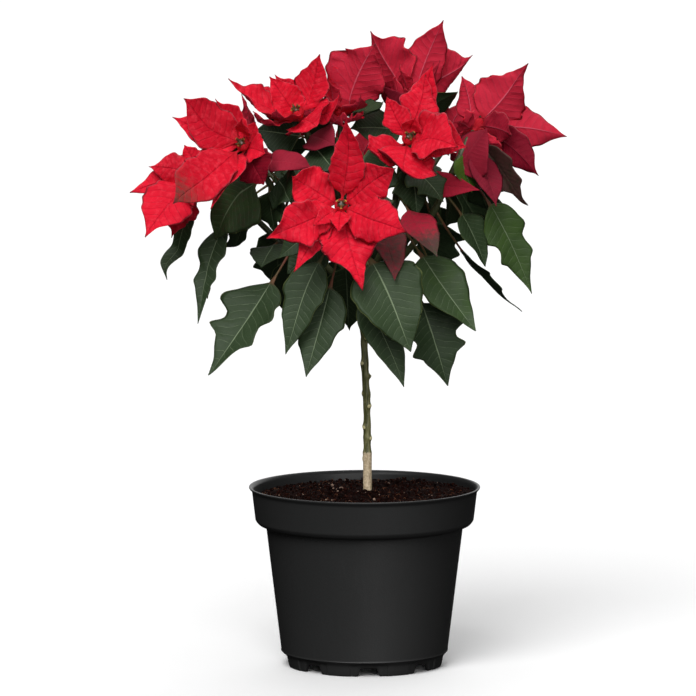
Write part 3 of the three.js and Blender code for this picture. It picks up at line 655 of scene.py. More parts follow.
def bract(x, y, z, width, outline="oval", arch=0.12, roll=0, **own):
    # One bract: the place of its tip, its width, its usual outline, how far it bows as a share of its
    # length, its turn in degrees, and what is its own in place of what the seed gives it.
    return {
        "kind": "bract", "tip": np.array([x, y, z], float), "width": width, "outline": outline,
        "arch": arch, "roll": np.radians(roll), "own": own,
    }


def leaf(share, x, y, z, width, outline="leaf", stalk=0.36, arch=0.1, roll=0, hold=1, **own):
    # One leaf: where on its branch it stands, then as a bract, with the stalk's share of its length
    # and how firmly it is held behind the blooms.
    return bract(x, y, z, width, outline, arch, roll, **own) | {
        "kind": "leaf", "share": share, "stalk": stalk, "hold": hold,
    }


def rosette(shoot, count, turn):
    # Bracts by the golden angle, from short steep ones to long flat ones.
    rows = []
    for k in range(count):
        share = k / (count - 1)
        a, rise, length = turn + 2.399963 * k, 1.05 - share, 24 + 38 * share**0.5
        out = shoot["x"] * np.cos(a) + shoot["y"] * np.sin(a)
        tip = shoot["centre"] + length * (out * np.cos(rise) + shoot["front"] * np.sin(rise))
        outline = "narrow" if share < 0.25 else "shoulder" if k % 3 == 1 else "oval"
        rows.append(bract(*tip, 9 + 21 * share, outline, 0.14))
    return rows


# What a blade may have of its own: form, its outline; dusk, how far it has turned back to green, and
# tipDusk, the same at its tip alone; curl, which bends both margins up, and tipCurl, its tip; sickle,
# which bends the midrib sideways; folding, along the midrib; waves, how high its margin's waves are;
# tone, from dark to bright: partly each blade's own tone, and partly painted shade on blades that lie in
# shade and painted light on ones that lie too dark; below nought a bract takes a painted shaded red, and
# above one a leaf turns bright yellow-green.
bractRows = {
    "front": [
        bract(-11, -124, 467, 28, arch=0.1, form="oval", waves=0.04, tone=1.0),
        bract(30, -126, 427, 32, "broad", tone=0.7),
        bract(32, -138, 372, 37, "broad", arch=0.16, roll=10, form="round", waves=0.09, curl=-0.3, tone=0.8),
        bract(-2, -128, 324, 45, "shoulder", arch=0.14, form="tailed", waves=0.09, tone=0.9, tipCurl=0.02),
        bract(-57, -122, 338, 20, "narrow", arch=0.1),
        bract(-78, -128, 366, 34, "broad", roll=-10, waves=0.12, tone=0.8),
        bract(-68, -106, 418, 34, "broad", waves=0.12, tone=0.75),
        bract(-21, -124, 372, 15, "narrow", arch=0.15),
        bract(-40, -120, 376, 13, "narrow", arch=0.15, roll=-10),
    ],
    "right_front": [
        bract(51, -30, 489, 33, arch=0.1),
        bract(60, -14, 497, 34, arch=0.04, roll=10),
        bract(17, -42, 472, 24, arch=0.1, roll=-20),
        bract(-10, -80, 419, 30, "shoulder", arch=0.14, roll=-20),
        bract(29, -97, 397, 50, "broad", arch=0.14, waves=0.06, tone=0.55),
        bract(74, -90, 436, 38, "broad", arch=0.2, roll=20),
        bract(82, -66, 433, 40, arch=0.3, roll=25, tone=0.5, curl=0.3),
        bract(40, -60, 454, 12, "narrow", arch=0.1),
    ],
    "left": [
        bract(-146, -62, 472, 38, arch=-0.04, form="round", waves=0.08, sickle=-0.09),
        bract(-163, -50, 446, 34, arch=0.06, roll=10),
        bract(-117, -30, 471, 32, "broad", arch=0.1),
        bract(-86, -50, 453, 14, "narrow", roll=20, tone=0.2),
        bract(-80, -64, 428, 25, arch=0.14, roll=10),
        bract(-162, -92, 380, 40, arch=0.14, roll=-10, form="round", tipDusk=0.5, waves=0.09, folding=1.6),
        bract(-124, -88, 384, 32, roll=20),
        bract(-80, -64, 402, 38, arch=0.04, roll=20, tone=-0.7),
        bract(-101, -74, 455, 11, "narrow", roll=40, tone=0.3),
    ],
    "far_left": [
        bract(-175, -8, 412, 30, arch=0.26, curl=-0.6, waves=0.14, tone=0.5),
        bract(-191, -8, 391, 25, roll=-10),
        bract(-178, -42, 358, 46, arch=0.14, roll=-15, form="broad", waves=0.05, tone=0.85),
        bract(-147, 5, 428, 20, "narrow", arch=0.1),
        bract(-166, 42, 404, 28),
        bract(-158, 14, 352, 34, roll=-20, tone=0.1),
        bract(-140, -50, 385, 24, arch=0.1, roll=-20),
    ],
    "upper_left": [
        bract(-113, -20, 482, 32, arch=-0.02, roll=-5, form="oval", sickle=-0.06),
        bract(-77, -6, 485, 24, arch=0.1),
        bract(-25, 0, 500, 38, roll=10, form="oval"),
        bract(-38, -43, 447, 42, "broad", arch=0.16, roll=10, tone=0.6, waves=0.06),
        bract(-106, -44, 438, 20, arch=0.1),
        bract(-62, 32, 480, 28),
        bract(4, -34, 462, 20, arch=0.1, roll=20),
        bract(-68, 4, 481, 20, arch=0.1),
        bract(-96, 22, 474, 26, roll=-20),
        bract(-78, -52, 452, 22),
    ],
    "middle": [
        bract(8, 8, 511, 54, "broad", arch=0.1, roll=-70),
        bract(5, -26, 462, 22, roll=10),
        bract(26, -10, 453, 24, roll=30, dusk=0.95),
        bract(-38, -26, 436, 28, roll=-10),
        bract(-4, -36, 438, 30, roll=10),
        bract(-50, 30, 486, 26),
        bract(8, 66, 472, 24, dusk=0.95),
        bract(-28, 12, 480, 12, "narrow"),
    ],
    "top": [
        bract(-2, 58, 514, 48, "broad", arch=0.1, roll=16),
        bract(65, 46, 528, 35, arch=0.1, roll=-25, form="oval"),
        bract(98, 64, 489, 50, "broad", arch=0.14, roll=-70),
        bract(76, 14, 480, 18, "narrow", roll=-30),
        bract(2, 16, 466, 24, roll=50),
        bract(12, 104, 482, 28, "shoulder", arch=0.14),
        bract(66, 104, 480, 27, arch=0.14),
        bract(30, 34, 486, 12, "narrow"),
        bract(46, 0, 462, 30, arch=0.1),
    ],
    "right": [
        bract(133, 0, 496, 44, "shoulder", arch=0.06, form="tailed", sickle=-0.03),
        bract(165, 5, 436, 34, "broad", arch=0.14, roll=-50, curl=0.25),
        bract(141, -32, 407, 29, roll=-40, tone=-0.8),
        bract(130, 36, 416, 27, roll=-30),
        bract(80, 12, 484, 26, roll=40),
        bract(118, -34, 440, 26, arch=0.24, roll=-30, tone=-0.5),
        bract(104, -30, 408, 28, arch=0.1, roll=-30),
        bract(116, 52, 478, 26, arch=0.14),
        bract(68, -24, 444, 30, roll=20),
    ],
    "upper_back": [
        bract(-84, 84, 466, 26, arch=0.14, roll=30),
        bract(-66, 132, 446, 28, "shoulder", arch=0.14),
        bract(-18, 134, 450, 26, arch=0.14),
        bract(2, 96, 464, 26),
        bract(-58, 72, 470, 16, "narrow", roll=20),
        bract(-38, 94, 468, 12, "narrow"),
        bract(-40, 124, 422, 26),
    ],
    "back": rosette(shoots["back"], 9, 0.4),
    "back_left": rosette(shoots["back_left"], 8, 1.9),
    "back_right": rosette(shoots["back_right"], 8, 0.2),
}

leafRows = {
    "front": [
        leaf(0.86, 37, -118, 274, 59, stalk=0.4, roll=10, form="entire", waves=0.03, sickle=-0.02, tone=0.75),
        leaf(0.62, 31, -84, 241, 31, stalk=0.4, arch=0.14, roll=20, form="entire", tone=0.6),
        leaf(0.7, -47, -93, 250, 40, stalk=0.4, arch=0.02, roll=-20, form="leaf", tone=0.55),
        leaf(0.8, -64, -96, 269, 34, stalk=0.34, arch=0.06, roll=-20, form="leaf", tone=0.6),
        leaf(0.88, -70, -84, 345, 24, "oval", stalk=0.3, roll=-40, form="oval", dusk=0.05, tone=0.6),
        leaf(0.75, -62, -62, 330, 40, stalk=0.34, roll=-30),
        leaf(0.6, -34, -44, 376, 38, stalk=0.34),
        leaf(0.8, 24, -66, 390, 38, "oval", stalk=0.3),
        leaf(0.55, -12, -30, 281, 42, "oval", stalk=0.2),
    ],
    "right_front": [
        leaf(0.35, 68, -45, 237, 54, stalk=0.5, arch=0.04, roll=30, form="lobed", tone=0.5),
        leaf(0.5, 90, -60, 284, 44, stalk=0.4, arch=-0.06, roll=30, form="entire", tone=0.95, waves=0.05),
        leaf(0.6, 58, -78, 345, 29, "oval", stalk=0.34, roll=10, form="oval", dusk=0.9, tipDusk=-0.55,
            tone=0.8),
        leaf(0.84, 64, -50, 388, 44, stalk=0.26, roll=10, form="lobed", tone=0.7),
        leaf(0.46, 24, -124, 337, 34, "oval", stalk=0.34, arch=0.16, form="oval", dusk=0.66, waves=0.03,
            sickle=0.1),
        leaf(0.88, -4, -52, 398, 36, stalk=0.3, roll=-20),
        leaf(0.7, 93, -40, 396, 22, "narrow", stalk=0.15, arch=0.06, roll=60, hold=0.3, dusk=1.3, tone=0.8),
        leaf(0.9, 42, -34, 374, 44, "oval", stalk=0.2, roll=20),
    ],
    "left": [
        leaf(0.42, -127, -70, 250, 54, arch=-0.07, roll=-20, form="lobed", tone=0.55),
        leaf(0.8, -123, -2, 352, 58, stalk=0.22, roll=-50, form="entire", tone=0.95, dusk=0.15, waves=0.03),
        leaf(0.85, -60, -50, 388, 46, stalk=0.26, roll=-10),
        leaf(0.96, -42, -52, 415, 26, "shoulder", stalk=0.08, arch=0.28, roll=-10, hold=0.3, form="oval",
            dusk=1.5, tone=0.35, waves=0.12),
        leaf(0.72, -72, -22, 360, 46, "oval", stalk=0.2, roll=-10),
        leaf(0.85, -104, -24, 454, 40, "oval", stalk=0.15, hold=0, form="entire", tone=0.1),
    ],
    "far_left": [
        leaf(0.74, -136, -30, 286, 26, stalk=0.24, arch=0.08, roll=-40, form="lobed", tone=0.5),
        leaf(0.95, -163, 0, 318, 23, stalk=0.25, arch=0.42, roll=-60),
        leaf(0.72, -130, 44, 298, 40, stalk=0.3, roll=-30),
        leaf(0.45, -84, -20, 330, 34, stalk=0.2, roll=-30),
    ],
    "upper_left": [
        leaf(0.88, -88, 14, 440, 42, stalk=0.2, arch=0.06, roll=-70, hold=0, form="entire", tone=0.1),
        leaf(0.85, -24, -36, 411, 42, "oval", stalk=0.2, hold=0.5),
        leaf(0.75, -60, -22, 398, 34, stalk=0.34, roll=-20),
        leaf(0.9, -24, -34, 432, 32, "oval", stalk=0.15, roll=-10, hold=0, form="oval", dusk=1.4, tone=0.1),
        leaf(0.7, -70, 4, 384, 46, "oval", stalk=0.26, roll=-40),
    ],
    "middle": [
        leaf(0.75, 17, -14, 404, 38, "oval", stalk=0.26),
        leaf(0.7, -30, -14, 454, 40, "oval", stalk=0.15, roll=70, hold=0),
        leaf(0.8, -38, 16, 394, 44, "oval", stalk=0.2, roll=-40),
        leaf(0.85, -2, 26, 392, 42, "oval", stalk=0.2, roll=40),
    ],
    "top": [
        leaf(0.85, 76, 2, 474, 30, "oval", stalk=0.2, roll=20, hold=0, form="entire", tone=2.4),
        leaf(0.8, -12, 14, 442, 48, "broad", stalk=0.15, arch=0.06, roll=-80, hold=0),
        leaf(0.75, 50, 104, 440, 32),
        leaf(0.75, 36, -8, 464, 44, "oval", stalk=0.15, hold=0, form="entire", tone=0.1),
        leaf(0.82, 12, 20, 478, 30, "oval", stalk=0.15, arch=0.04, hold=0, form="oval", dusk=1.3, tone=0.3),
        leaf(0.78, 60, 28, 360, 44, "oval", stalk=0.2, arch=0),
    ],
    "right": [
        leaf(0.78, 136, 5, 307, 38, stalk=0.38, roll=70, form="lobed", tone=1.15),
        leaf(0.5, 128, 34, 286, 32, stalk=0.38, arch=-0.06, roll=5, form="lobed", tone=0.5),
        leaf(0.93, 136, -4, 383, 54, stalk=0.12, arch=0.12, roll=80, form="lobed", dusk=0.42, tone=0.1),
        leaf(0.93, 107, -40, 383, 32, "oval", stalk=0.2, roll=10, form="oval", dusk=1.0, tone=0.1),
        leaf(0.6, 98, -24, 332, 34, roll=30),
        leaf(0.75, 124, 46, 350, 36),
        leaf(0.7, 66, 8, 362, 48, "oval", stalk=0.26, roll=20),
        leaf(0.72, 98, -38, 446, 46, "oval", stalk=0.1, roll=20, hold=0, form="oval", dusk=1.3, tone=0.3),
        leaf(0.84, 86, -30, 393, 28, "oval", stalk=0.1, arch=0.15, roll=20, form="round", tone=2.2,
            sickle=0.15),
    ],
    "upper_back": [
        leaf(0.8, -84, 60, 424, 30),
        leaf(0.75, -58, 128, 392, 36),
        leaf(0.6, -14, 98, 396, 34),
    ],
    "back": [
        leaf(0.8, 24, 134, 300, 54, arch=0.12),
        leaf(0.62, -30, 110, 262, 46, stalk=0.4),
        leaf(0.85, -52, 128, 316, 42),
        leaf(0.45, 20, 84, 246, 42, stalk=0.42, arch=0.08),
        leaf(0.75, 30, 92, 340, 40),
    ],
    "back_left": [
        leaf(0.7, -72, 110, 296, 50, stalk=0.4, arch=0.12),
        leaf(0.85, -132, 66, 340, 40, stalk=0.34),
        leaf(0.5, -64, 74, 280, 44, stalk=0.42),
        leaf(0.7, -52, 94, 350, 40),
    ],
    "back_right": [
        leaf(0.7, 60, 112, 304, 50, stalk=0.4, arch=0.12),
        leaf(0.85, 118, 76, 344, 40, stalk=0.34),
        leaf(0.5, 76, 72, 262, 44, stalk=0.42),
        leaf(0.7, 60, 108, 340, 40),
    ],
}

# Outlines: half width as a share of the widest at shares of the length, and corners that stand out
# of it: side (-1 or 1), place, height, run before it and run after it.
bladeForms = {
    "oval": {
        "rows": [
            (0, 0.12), (0.06, 0.4), (0.18, 0.8), (0.36, 1), (0.54, 0.9), (0.7, 0.66), (0.84, 0.34),
            (0.93, 0.11), (1, 0.01),
        ],
    },
    "shoulder": {
        "rows": [
            (0, 0.14), (0.1, 0.5), (0.28, 0.8), (0.46, 0.92), (0.58, 0.76), (0.7, 0.53), (0.84, 0.28),
            (0.93, 0.1), (1, 0.01),
        ],
        "corners": [(-1, 0.5, 0.16, 0.16, 0.07), (1, 0.47, 0.14, 0.15, 0.08), (1, 0.74, 0.05, 0.07, 0.05)],
    },
    "broad": {
        "rows": [
            (0, 0.14), (0.1, 0.55), (0.3, 0.84), (0.54, 0.97), (0.68, 0.78), (0.78, 0.5), (0.88, 0.22),
            (0.94, 0.09), (1, 0.01),
        ],
        "corners": [(-1, 0.58, 0.13, 0.14, 0.07), (1, 0.55, 0.14, 0.16, 0.08)],
    },
    "round": {
        "rows": [
            (0, 0.14), (0.08, 0.5), (0.22, 0.84), (0.42, 1.0), (0.6, 0.95), (0.74, 0.74), (0.85, 0.4),
            (0.93, 0.15), (1, 0.01),
        ],
    },
    "tailed": {
        "rows": [
            (0, 0.14), (0.1, 0.6), (0.26, 0.93), (0.42, 1.0), (0.55, 0.84), (0.66, 0.5), (0.78, 0.27),
            (0.92, 0.1), (1, 0.01),
        ],
    },
    "narrow": {
        "rows": [(0, 0.28), (0.2, 0.66), (0.44, 1), (0.64, 0.82), (0.82, 0.42), (0.93, 0.14), (1, 0.02)],
    },
    "entire": {
        "rows": [
            (0, 0.12), (0.04, 0.48), (0.12, 0.84), (0.3, 1.02), (0.46, 0.92), (0.62, 0.74), (0.8, 0.42),
            (0.92, 0.16), (1, 0.01),
        ],
    },
    "leaf": {
        "rows": [
            (0, 0.1), (0.05, 0.46), (0.16, 0.84), (0.34, 0.96), (0.5, 0.82), (0.64, 0.7), (0.8, 0.4),
            (0.91, 0.17), (1, 0.01),
        ],
        "corners": [(-1, 0.39, 0.1, 0.14, 0.05), (1, 0.42, 0.12, 0.14, 0.05), (1, 0.66, 0.07, 0.1, 0.04)],
    },
    "lobed": {
        "rows": [
            (0, 0.1), (0.05, 0.46), (0.16, 0.8), (0.3, 0.86), (0.44, 0.68), (0.6, 0.62), (0.72, 0.46),
            (0.88, 0.18), (1, 0.01),
        ],
        "corners": [
            (-1, 0.34, 0.26, 0.16, 0.06), (1, 0.38, 0.24, 0.14, 0.06), (-1, 0.6, 0.22, 0.13, 0.05),
            (1, 0.63, 0.18, 0.12, 0.05),
        ],
    },
}


crowding = {
    "neighbours": 75,  # half distances up to this count
    "free": 0.55,  # the share of a half distance in which a blade isn't squeezed
    "gap": 1.1,
    "bractDepth": 13,  # how far behind the bloom's middle its bracts may lie
    "flowerRoom": 7.2,
    "leafDepth": 16.5,  # how far behind each bloom's middle the leaves stay
}


def keepToOwnSide(points, shoot, lift):
    # Past a share of the half distance to each neighbour the way left is squeezed exponentially, and
    # what is lost sideways partly becomes lift.
    for other in shoots.values():
        across = other["site"] - shoot["site"]
        half = np.linalg.norm(across) / 2
        if other is shoot or half > crowding["neighbours"]:
            continue
        across = across / (2 * half)
        start = crowding["free"] * half
        room = half - crowding["gap"] - start
        beyond = np.maximum((points - shoot["site"]) @ across - start, 0)
        lost = beyond - room * (1 - np.exp(-beyond / room))
        up = shoot["front"] - across * (shoot["front"] @ across)
        points = points + lost[..., None] * (lift * up - across)
    return points


def settleBract(points, shoot):
    # In front of the shoot's own leaves, and clear of the true flowers in the middle.
    for lift in (0.5, 0, 0):
        points = keepToOwnSide(points, shoot, lift)
    out = points - shoot["centre"]
    a = out @ shoot["front"]
    out = out - a[..., None] * shoot["front"]
    r = np.linalg.norm(out, axis=-1)
    low = np.maximum(-crowding["bractDepth"] - shoot["droop"] * r - a, 0)
    clear = crowding["flowerRoom"] * smooth(-4.5, 0, a + low)
    wider = np.sqrt(r**2 + clear**2) / np.maximum(r, 1e-6) - 1
    return points + low[..., None] * shoot["front"] + out * wider[..., None]


def settleLeaf(points, hold):
    # Leaves stay behind the bracts of every shoot, as far as they are held to it.
    for other in shoots.values():
        out = points - other["centre"]
        a = out @ other["front"]
        r = np.linalg.norm(out - a[..., None] * other["front"], axis=-1)
        over = np.maximum(a + crowding["leafDepth"] + other["droop"] * np.minimum(r, 80), 0)
        weight = (1 - smooth(62, 86, r)) * (1 - smooth(60, 110, a))
        points = points - (over * weight * hold)[..., None] * other["front"]
    return points


twigShape = {
    "axisDepth": 14.3,  # from the bloom's middle back to the end of its branch
    "radius": 2.9,
    "taper": 0.7,
    "collar": 1.3,
    "leafNode": 0.45,
    "axis": [(0, 2.2), (0.45, 3.6), (0.7, 5.6), (0.85, 5.2), (1, 3.6)],  # radius at shares of its length
    "sides": 18,
}


def branchCurve(shoot, t):
    # A cubic curve from the stem, out and a little up, into the back of the bloom.
    foot = stemAt(shoot["foot"])
    tip = shoot["centre"] - twigShape["axisDepth"] * shoot["front"]
    reach = np.linalg.norm(tip - foot)
    first = foot + 0.36 * reach * unit((tip - foot) * [1, 1, 0]) + [0, 0, 0.2 * reach]
    second = tip - 0.3 * reach * shoot["front"]
    t = np.asarray(t, float)[..., None]
    return foot * (1 - t) ** 3 + 3 * first * t * (1 - t) ** 2 + 3 * second * t**2 * (1 - t) + tip * t**3


def leafBlade(shoot, row):
    # Stands on the branch and looks outwards and up.
    return row | {
        "root": branchCurve(shoot, row["share"]), "fold": 0.22, "veins": 12,
        "up": 0.75 * unit(row["tip"] * [1, 1, 0]) + np.array([0, 0, 0.66]),
        "settle": lambda points: settleLeaf(points, row["hold"]),
    }


def bractBlade(shoot, row, order):
    # Stands on the bloom's axis, at depths spread by the golden section, and looks to the front.
    small = row["outline"] == "narrow" and row["width"] < 14
    depth = 5 if small else 6.5 + 5.5 * ((order * 0.618) % 1)
    out = row["tip"] - shoot["centre"]
    out = out - shoot["front"] * (out @ shoot["front"])
    return row | {
        "root": shoot["centre"] - depth * shoot["front"] + 2 * unit(out),
        "stalk": 0.2 if small else 0.1, "fold": 0.2, "veins": 10, "up": shoot["front"],
        "settle": lambda points: settleBract(points, shoot),
    }


def cornered(rows, corners, share):
    # The smooth outline with its corners added, each a slow rise and a quick fall along the margin.
    width = curveThrough(rows, share)
    for at, height, before, after in corners:
        rise = smooth(-1.1, 0.15, (share - at) / before)
        fall = 1 - smooth(-0.2, 1.3, (share - at) / after)
        width = width + height * rise * fall
    return width


bladeShape = {
    "stalkRings": 7,
    "bladeRings": 44,
    "across": 19,  # points from margin to margin
    "stalkRadius": 1.15,
    "halfThickness": 0.3,
    "ribWidth": 0.8,
    "ribAbove": -0.22,  # the midrib is a groove above
    "ribBelow": 0.75,
}


def bladeShell(blade, traits, shape):
    # The midrib is a bowed curve from root to tip. Across it the blade is folded up, curled and waved,
    # and settled among its neighbours; then both faces are set off it along its normal, with veins
    # pressed in between swellings and a midrib that stands out below.
    stalk, width = blade["stalk"], blade["width"]
    onStalk = np.linspace(0, stalk, shape["stalkRings"])[:-1]
    s = np.concatenate([onStalk, np.linspace(stalk, 1, shape["bladeRings"])])[:, None]
    u = np.linspace(-1, 1, shape["across"])
    v = (np.sign(u) * np.abs(u) ** 1.25)[None]
    share = np.clip((s - stalk) / (1 - stalk), 0, 1)
    inBlade = smooth(0, 0.3, share)

    # The midrib, and a frame carried along it.
    chord = blade["tip"] - blade["root"]
    length = np.linalg.norm(chord)
    up = unit(blade["up"] - chord * (blade["up"] @ chord) / length**2)
    bow = blade["root"] + 0.45 * chord + blade["arch"] * length * up
    middle = blade["root"] * (1 - s) ** 2 + 2 * bow * s * (1 - s) + blade["tip"] * s**2
    along = unit(2 * (bow - blade["root"]) * (1 - s) + 2 * (blade["tip"] - bow) * s)
    side = unit(np.cross(chord, up)) + 0 * along
    lift = unit(np.cross(side, along))
    turn = (blade["roll"] + traits["twist"] * s) * smooth(0, stalk + 0.2, s)
    across = side * np.cos(turn) - lift * np.sin(turn)
    above = lift * np.cos(turn) + side * np.sin(turn)

    # The half width on each side, with the form's corners and a ripple of the margin.
    form = bladeForms[traits["form"]]
    jitter = lambda c: (c[1] + traits["shift"], c[2] * traits["toothSize"], c[3], c[4])
    halves = []
    for hand in (-1, 1):
        corners = [jitter(c) for c in form.get("corners", []) if c[0] * traits["hand"] == hand]
        halves.append(cornered(form["rows"], corners, share) * width / 2)
    half = np.where(v < 0, halves[0], halves[1])
    beat = 2 * np.pi * (2.6 * traits["beats"] * share + v * 0.2)
    half = half * (1 + traits["ripple"] * np.sin(beat + traits["phase"]))
    petiole = shape["stalkRadius"] * (1 - 0.25 * smooth(0, stalk, s))
    half = np.where(s < stalk, petiole, np.maximum(half, petiole * (1 - smooth(0, 0.08, share))))

    # How far each point lies to the side of the midrib and above it.
    x = v * half
    sway = traits["sickle"] * length * np.sin(np.pi * s) ** 2
    phases = np.where(v < 0, traits["phase"], traits["phase"] + 2.1)
    envelope = smooth(0.02, 0.25, share) * (1 - 0.7 * smooth(0.8, 1, share))
    wave = traits["waves"] * width * np.sin(2 * np.pi * traits["beats"] * share + phases) * v**2
    curl = traits["curl"] * half * v**2 + traits["tipCurl"] * length * smooth(0.55, 1, share) ** 2
    fold = (np.sqrt(v**2 + 0.012) - 0.11) * half * blade["fold"] * traits["folding"]
    raised = (fold + curl) * inBlade + wave * envelope
    points = middle[:, None] + (x + sway)[..., None] * across[:, None] + raised[..., None] * above[:, None]
    points = blade["settle"](points)

    # Veins leave the midrib slanting forward and bend on towards the tip.
    run = (s - stalk) * length
    spacing = (1 - stalk) * length / blade["veins"]
    drift = 30 * traits["phase"]
    wander = latticeNoise(x + 40 * traits["phase"], run, 9.0, 3)
    vein = (run - 0.5 * np.abs(x) - 0.006 * x**2) / spacing + 0.25 * np.tanh(x / 1.5) + 0.22 * wander
    swell = np.abs(np.sin(np.pi * vein)) ** 0.7 - 0.6
    crumple = latticeNoise(x + drift, run, 4.2, 8) + 0.6 * latticeNoise(x, run + drift, 2.3, 9)
    plain = smooth(0, 0.1, share) * (1 - smooth(0.8, 0.98, share)) * (1 - v**6) * smooth(0, 0.12, np.abs(v))
    relief = (traits["quilt"] * width * swell + traits["crumple"] * crumple) * plain
    downAlong, downAcross = np.gradient(points, axis=0), np.gradient(points, axis=1)
    normal = unit(np.cross(downAcross, downAlong))
    points = points + relief[..., None] * normal

    # The two faces, round on the stalk and thin in the blade.
    roundness = np.sqrt(np.clip(1 - v**2, 0, 1))
    thick = petiole * roundness * (1 - inBlade) + (shape["halfThickness"] * roundness + 0 * s) * inBlade
    rib = bell(x, shape["ribWidth"]) * (1 - 0.8 * share) * inBlade
    top = points + (thick + shape["ribAbove"] * rib)[..., None] * normal
    bottom = points - (thick + shape["ribBelow"] * rib)[..., None] * normal

    # For the colours: place along the veins, across and along the blade, and tone, dusk and face.
    where = np.stack([vein, v + 0 * s, (s - stalk) / (1 - stalk) + 0 * v], -1)
    dusk = traits["dusk"] + traits["tipDusk"] * smooth(0.35, 0.95, share) + 0 * v
    look = np.stack([traits["tone"] + 0 * dusk, dusk, 1 + 0 * dusk], -1)
    roundBoth = lambda upper, lower: np.concatenate([upper, lower[:, -2:0:-1]], axis=1)
    values = {"bladePlace": roundBoth(where, where), "bladeLook": roundBoth(look, look * [1, 1, 0])}
    return closedTube(roundBoth(top, bottom), values)


def traitsOf(row, rng):
    # What the seed gives every blade, then what is this one's own.
    isLeaf = row["kind"] == "leaf"
    draw = lambda low, high: rng.uniform(low, high)
    traits = {
        "form": row["outline"],
        "twist": draw(-0.25, 0.25),
        "shift": draw(-0.04, 0.04),
        "toothSize": draw(0.6, 1.5),
        "hand": rng.choice([-1, 1]),
        "sickle": draw(-0.035, 0.035),
        "phase": draw(0, 2 * np.pi),
        "beats": draw(1.3, 2.4) if isLeaf else draw(1.5, 3.0),
        "waves": draw(0.015, 0.045) if isLeaf else draw(0.05, 0.1),
        "ripple": 0.02 if isLeaf else 0.045,
        "curl": draw(-0.12, 0.12),
        "tipCurl": draw(-0.03, 0.03),
        "folding": draw(0.7, 1.2),
        "quilt": 0.011 if isLeaf else 0.018,
        "crumple": 0.1 if isLeaf else 0.34,
        "dusk": 0.0,
        "tipDusk": 0.0,
        "tone": draw(0.25, 0.75) if isLeaf else draw(0.3, 1.0),
    }
    if isLeaf and row["outline"] == "leaf":
        traits["form"] = rng.choice(["leaf", "lobed", "entire"])
    elif row["outline"] == "oval" and rng.uniform() < 0.35:
        traits["form"] = "shoulder"
    return traits | row["own"]


bractLook = {
    "red": ((0.5, 0.003, 0.016), (0.92, 0.009, 0.036)),
    # Along the veins: partly their own colour, partly painted shade in their grooves.
    "vein": (0.3, 0.001, 0.01),
    # Painted highlight, as where light catches crumpled crests.
    "patch": (0.95, 0.06, 0.095),
    "below": ((0.56, 0.018, 0.045), (0.34, 0.008, 0.025)),
    "ribBelow": (0.72, 0.13, 0.19),
    "shaded": (0.16, 0.001, 0.012),
    "margin": (0.88, 0.16, 0.2),
    "dull": ((0.045, 0.04, 0.025), (0.12, 0.085, 0.06)),
    "green": (0.04, 0.065, 0.03),
    "tip": (0.07, 0.012, 0.014),
    "base": (0.42, 0.012, 0.02),
}


def bladeRelief(place, vein, across, top):
    # Height of the fine relief: veins pressed in above and standing out below, over small cells. Then
    # where the side veins and the midrib run, each as a broad line and as a thin one.
    off = abs(vein.fraction() - 0.5)
    line, thin = off.step(0.4, 0.49), off.step(0.46, 0.497)
    rib, slim = abs(across).step(0.055, 0.0), abs(across).step(0.03, 0.012)
    side = top * -2.0 + 1.0
    height = (line * 0.45 + rib) * side + place.cells(1100).step(0.0, 0.25) * 0.35
    return height, line, thin, rib, slim


def bractSkin(shades):
    # Clear red, a deeper red along the veins, partly their own colour and partly painted shade in their
    # grooves; pale pink patches that are painted highlights, as on crumpled crests; rosy and dull below,
    # with thin pale margins and dark tips; a blade that turns back to leaf goes grey-green between its veins.
    material, shader, place = startMaterial("bractSkin", 0.56, Specular_IOR_Level=0.12)
    vein, across, along = place.values("bladePlace")
    tone, dusk, top = place.values("bladeLook")
    height, line, thin, rib, slim = bladeRelief(place, vein, across, top)
    cloud = place.noise(45, 3, 0.6)
    patch = place.noise(260, 3, 0.6)
    # The tone takes the red from deep to bright: partly each bract's own tone, partly painted light and
    # shade.
    colour = (tone * 0.8 + cloud * 0.5 - 0.15).clamped().between(*shades["red"])
    # Deeper red along the veins and midrib: partly their own colour, partly painted shade in their grooves.
    colour = (line * patch.step(0.3, 0.6) * 0.34 + slim * 0.3).between(colour, shades["vein"])
    # Painted highlights: pale pink patches, as where light catches crumpled crests.
    colour = (patch.step(0.45, 0.7) * 0.4).between(colour, shades["patch"])
    below = (line * 0.3).between(*shades["below"])
    below = (thin * 0.2 + slim * 0.7).between(below, shades["ribBelow"])
    colour = top.between(below, colour)
    # Painted shade: a tone below nought darkens the bract towards a deep shaded red.
    colour = tone.step(0.1, -1.0).between(colour, shades["shaded"])
    colour = (abs(across).step(0.93, 1.0) * 0.6).between(colour, shades["margin"])
    turned = (dusk * 1.25 + (patch - 0.5) * 0.5 - line * 0.25).step(0.1, 0.9)
    dull = (tone * 0.6 + cloud * 0.4).between(*shades["dull"])
    colour = turned.between(colour, dusk.step(0.7, 0.95).between(dull, shades["green"]))
    colour = (along.step(0.93, 1.0) * 0.75).between(colour, shades["tip"])
    colour = (along.step(0.12, 0.0) * 0.5).between(colour, shades["base"])
    feed(shader, place, colour, cloud * 0.16 + 0.44, height + patch * 0.7, 0.0007, 0.9)
    return material


leafLook = {
    "green": ((0.01, 0.023, 0.008), (0.04, 0.07, 0.026)),
    # Bright yellow-green: partly the colour of young leaves, partly painted light.
    "freshAndLit": (0.06, 0.13, 0.012),
    "vein": (0.2, 0.26, 0.15),
    "below": ((0.028, 0.05, 0.02), (0.09, 0.12, 0.06)),
    "margin": (0.2, 0.24, 0.07),
    "red": ((0.15, 0.004, 0.018), (0.52, 0.012, 0.04)),
    "redVein": (0.34, 0.02, 0.04),
    "halfTurned": (0.085, 0.035, 0.03),
    "stalk": ((0.1, 0.085, 0.03), (0.19, 0.055, 0.035)),
}


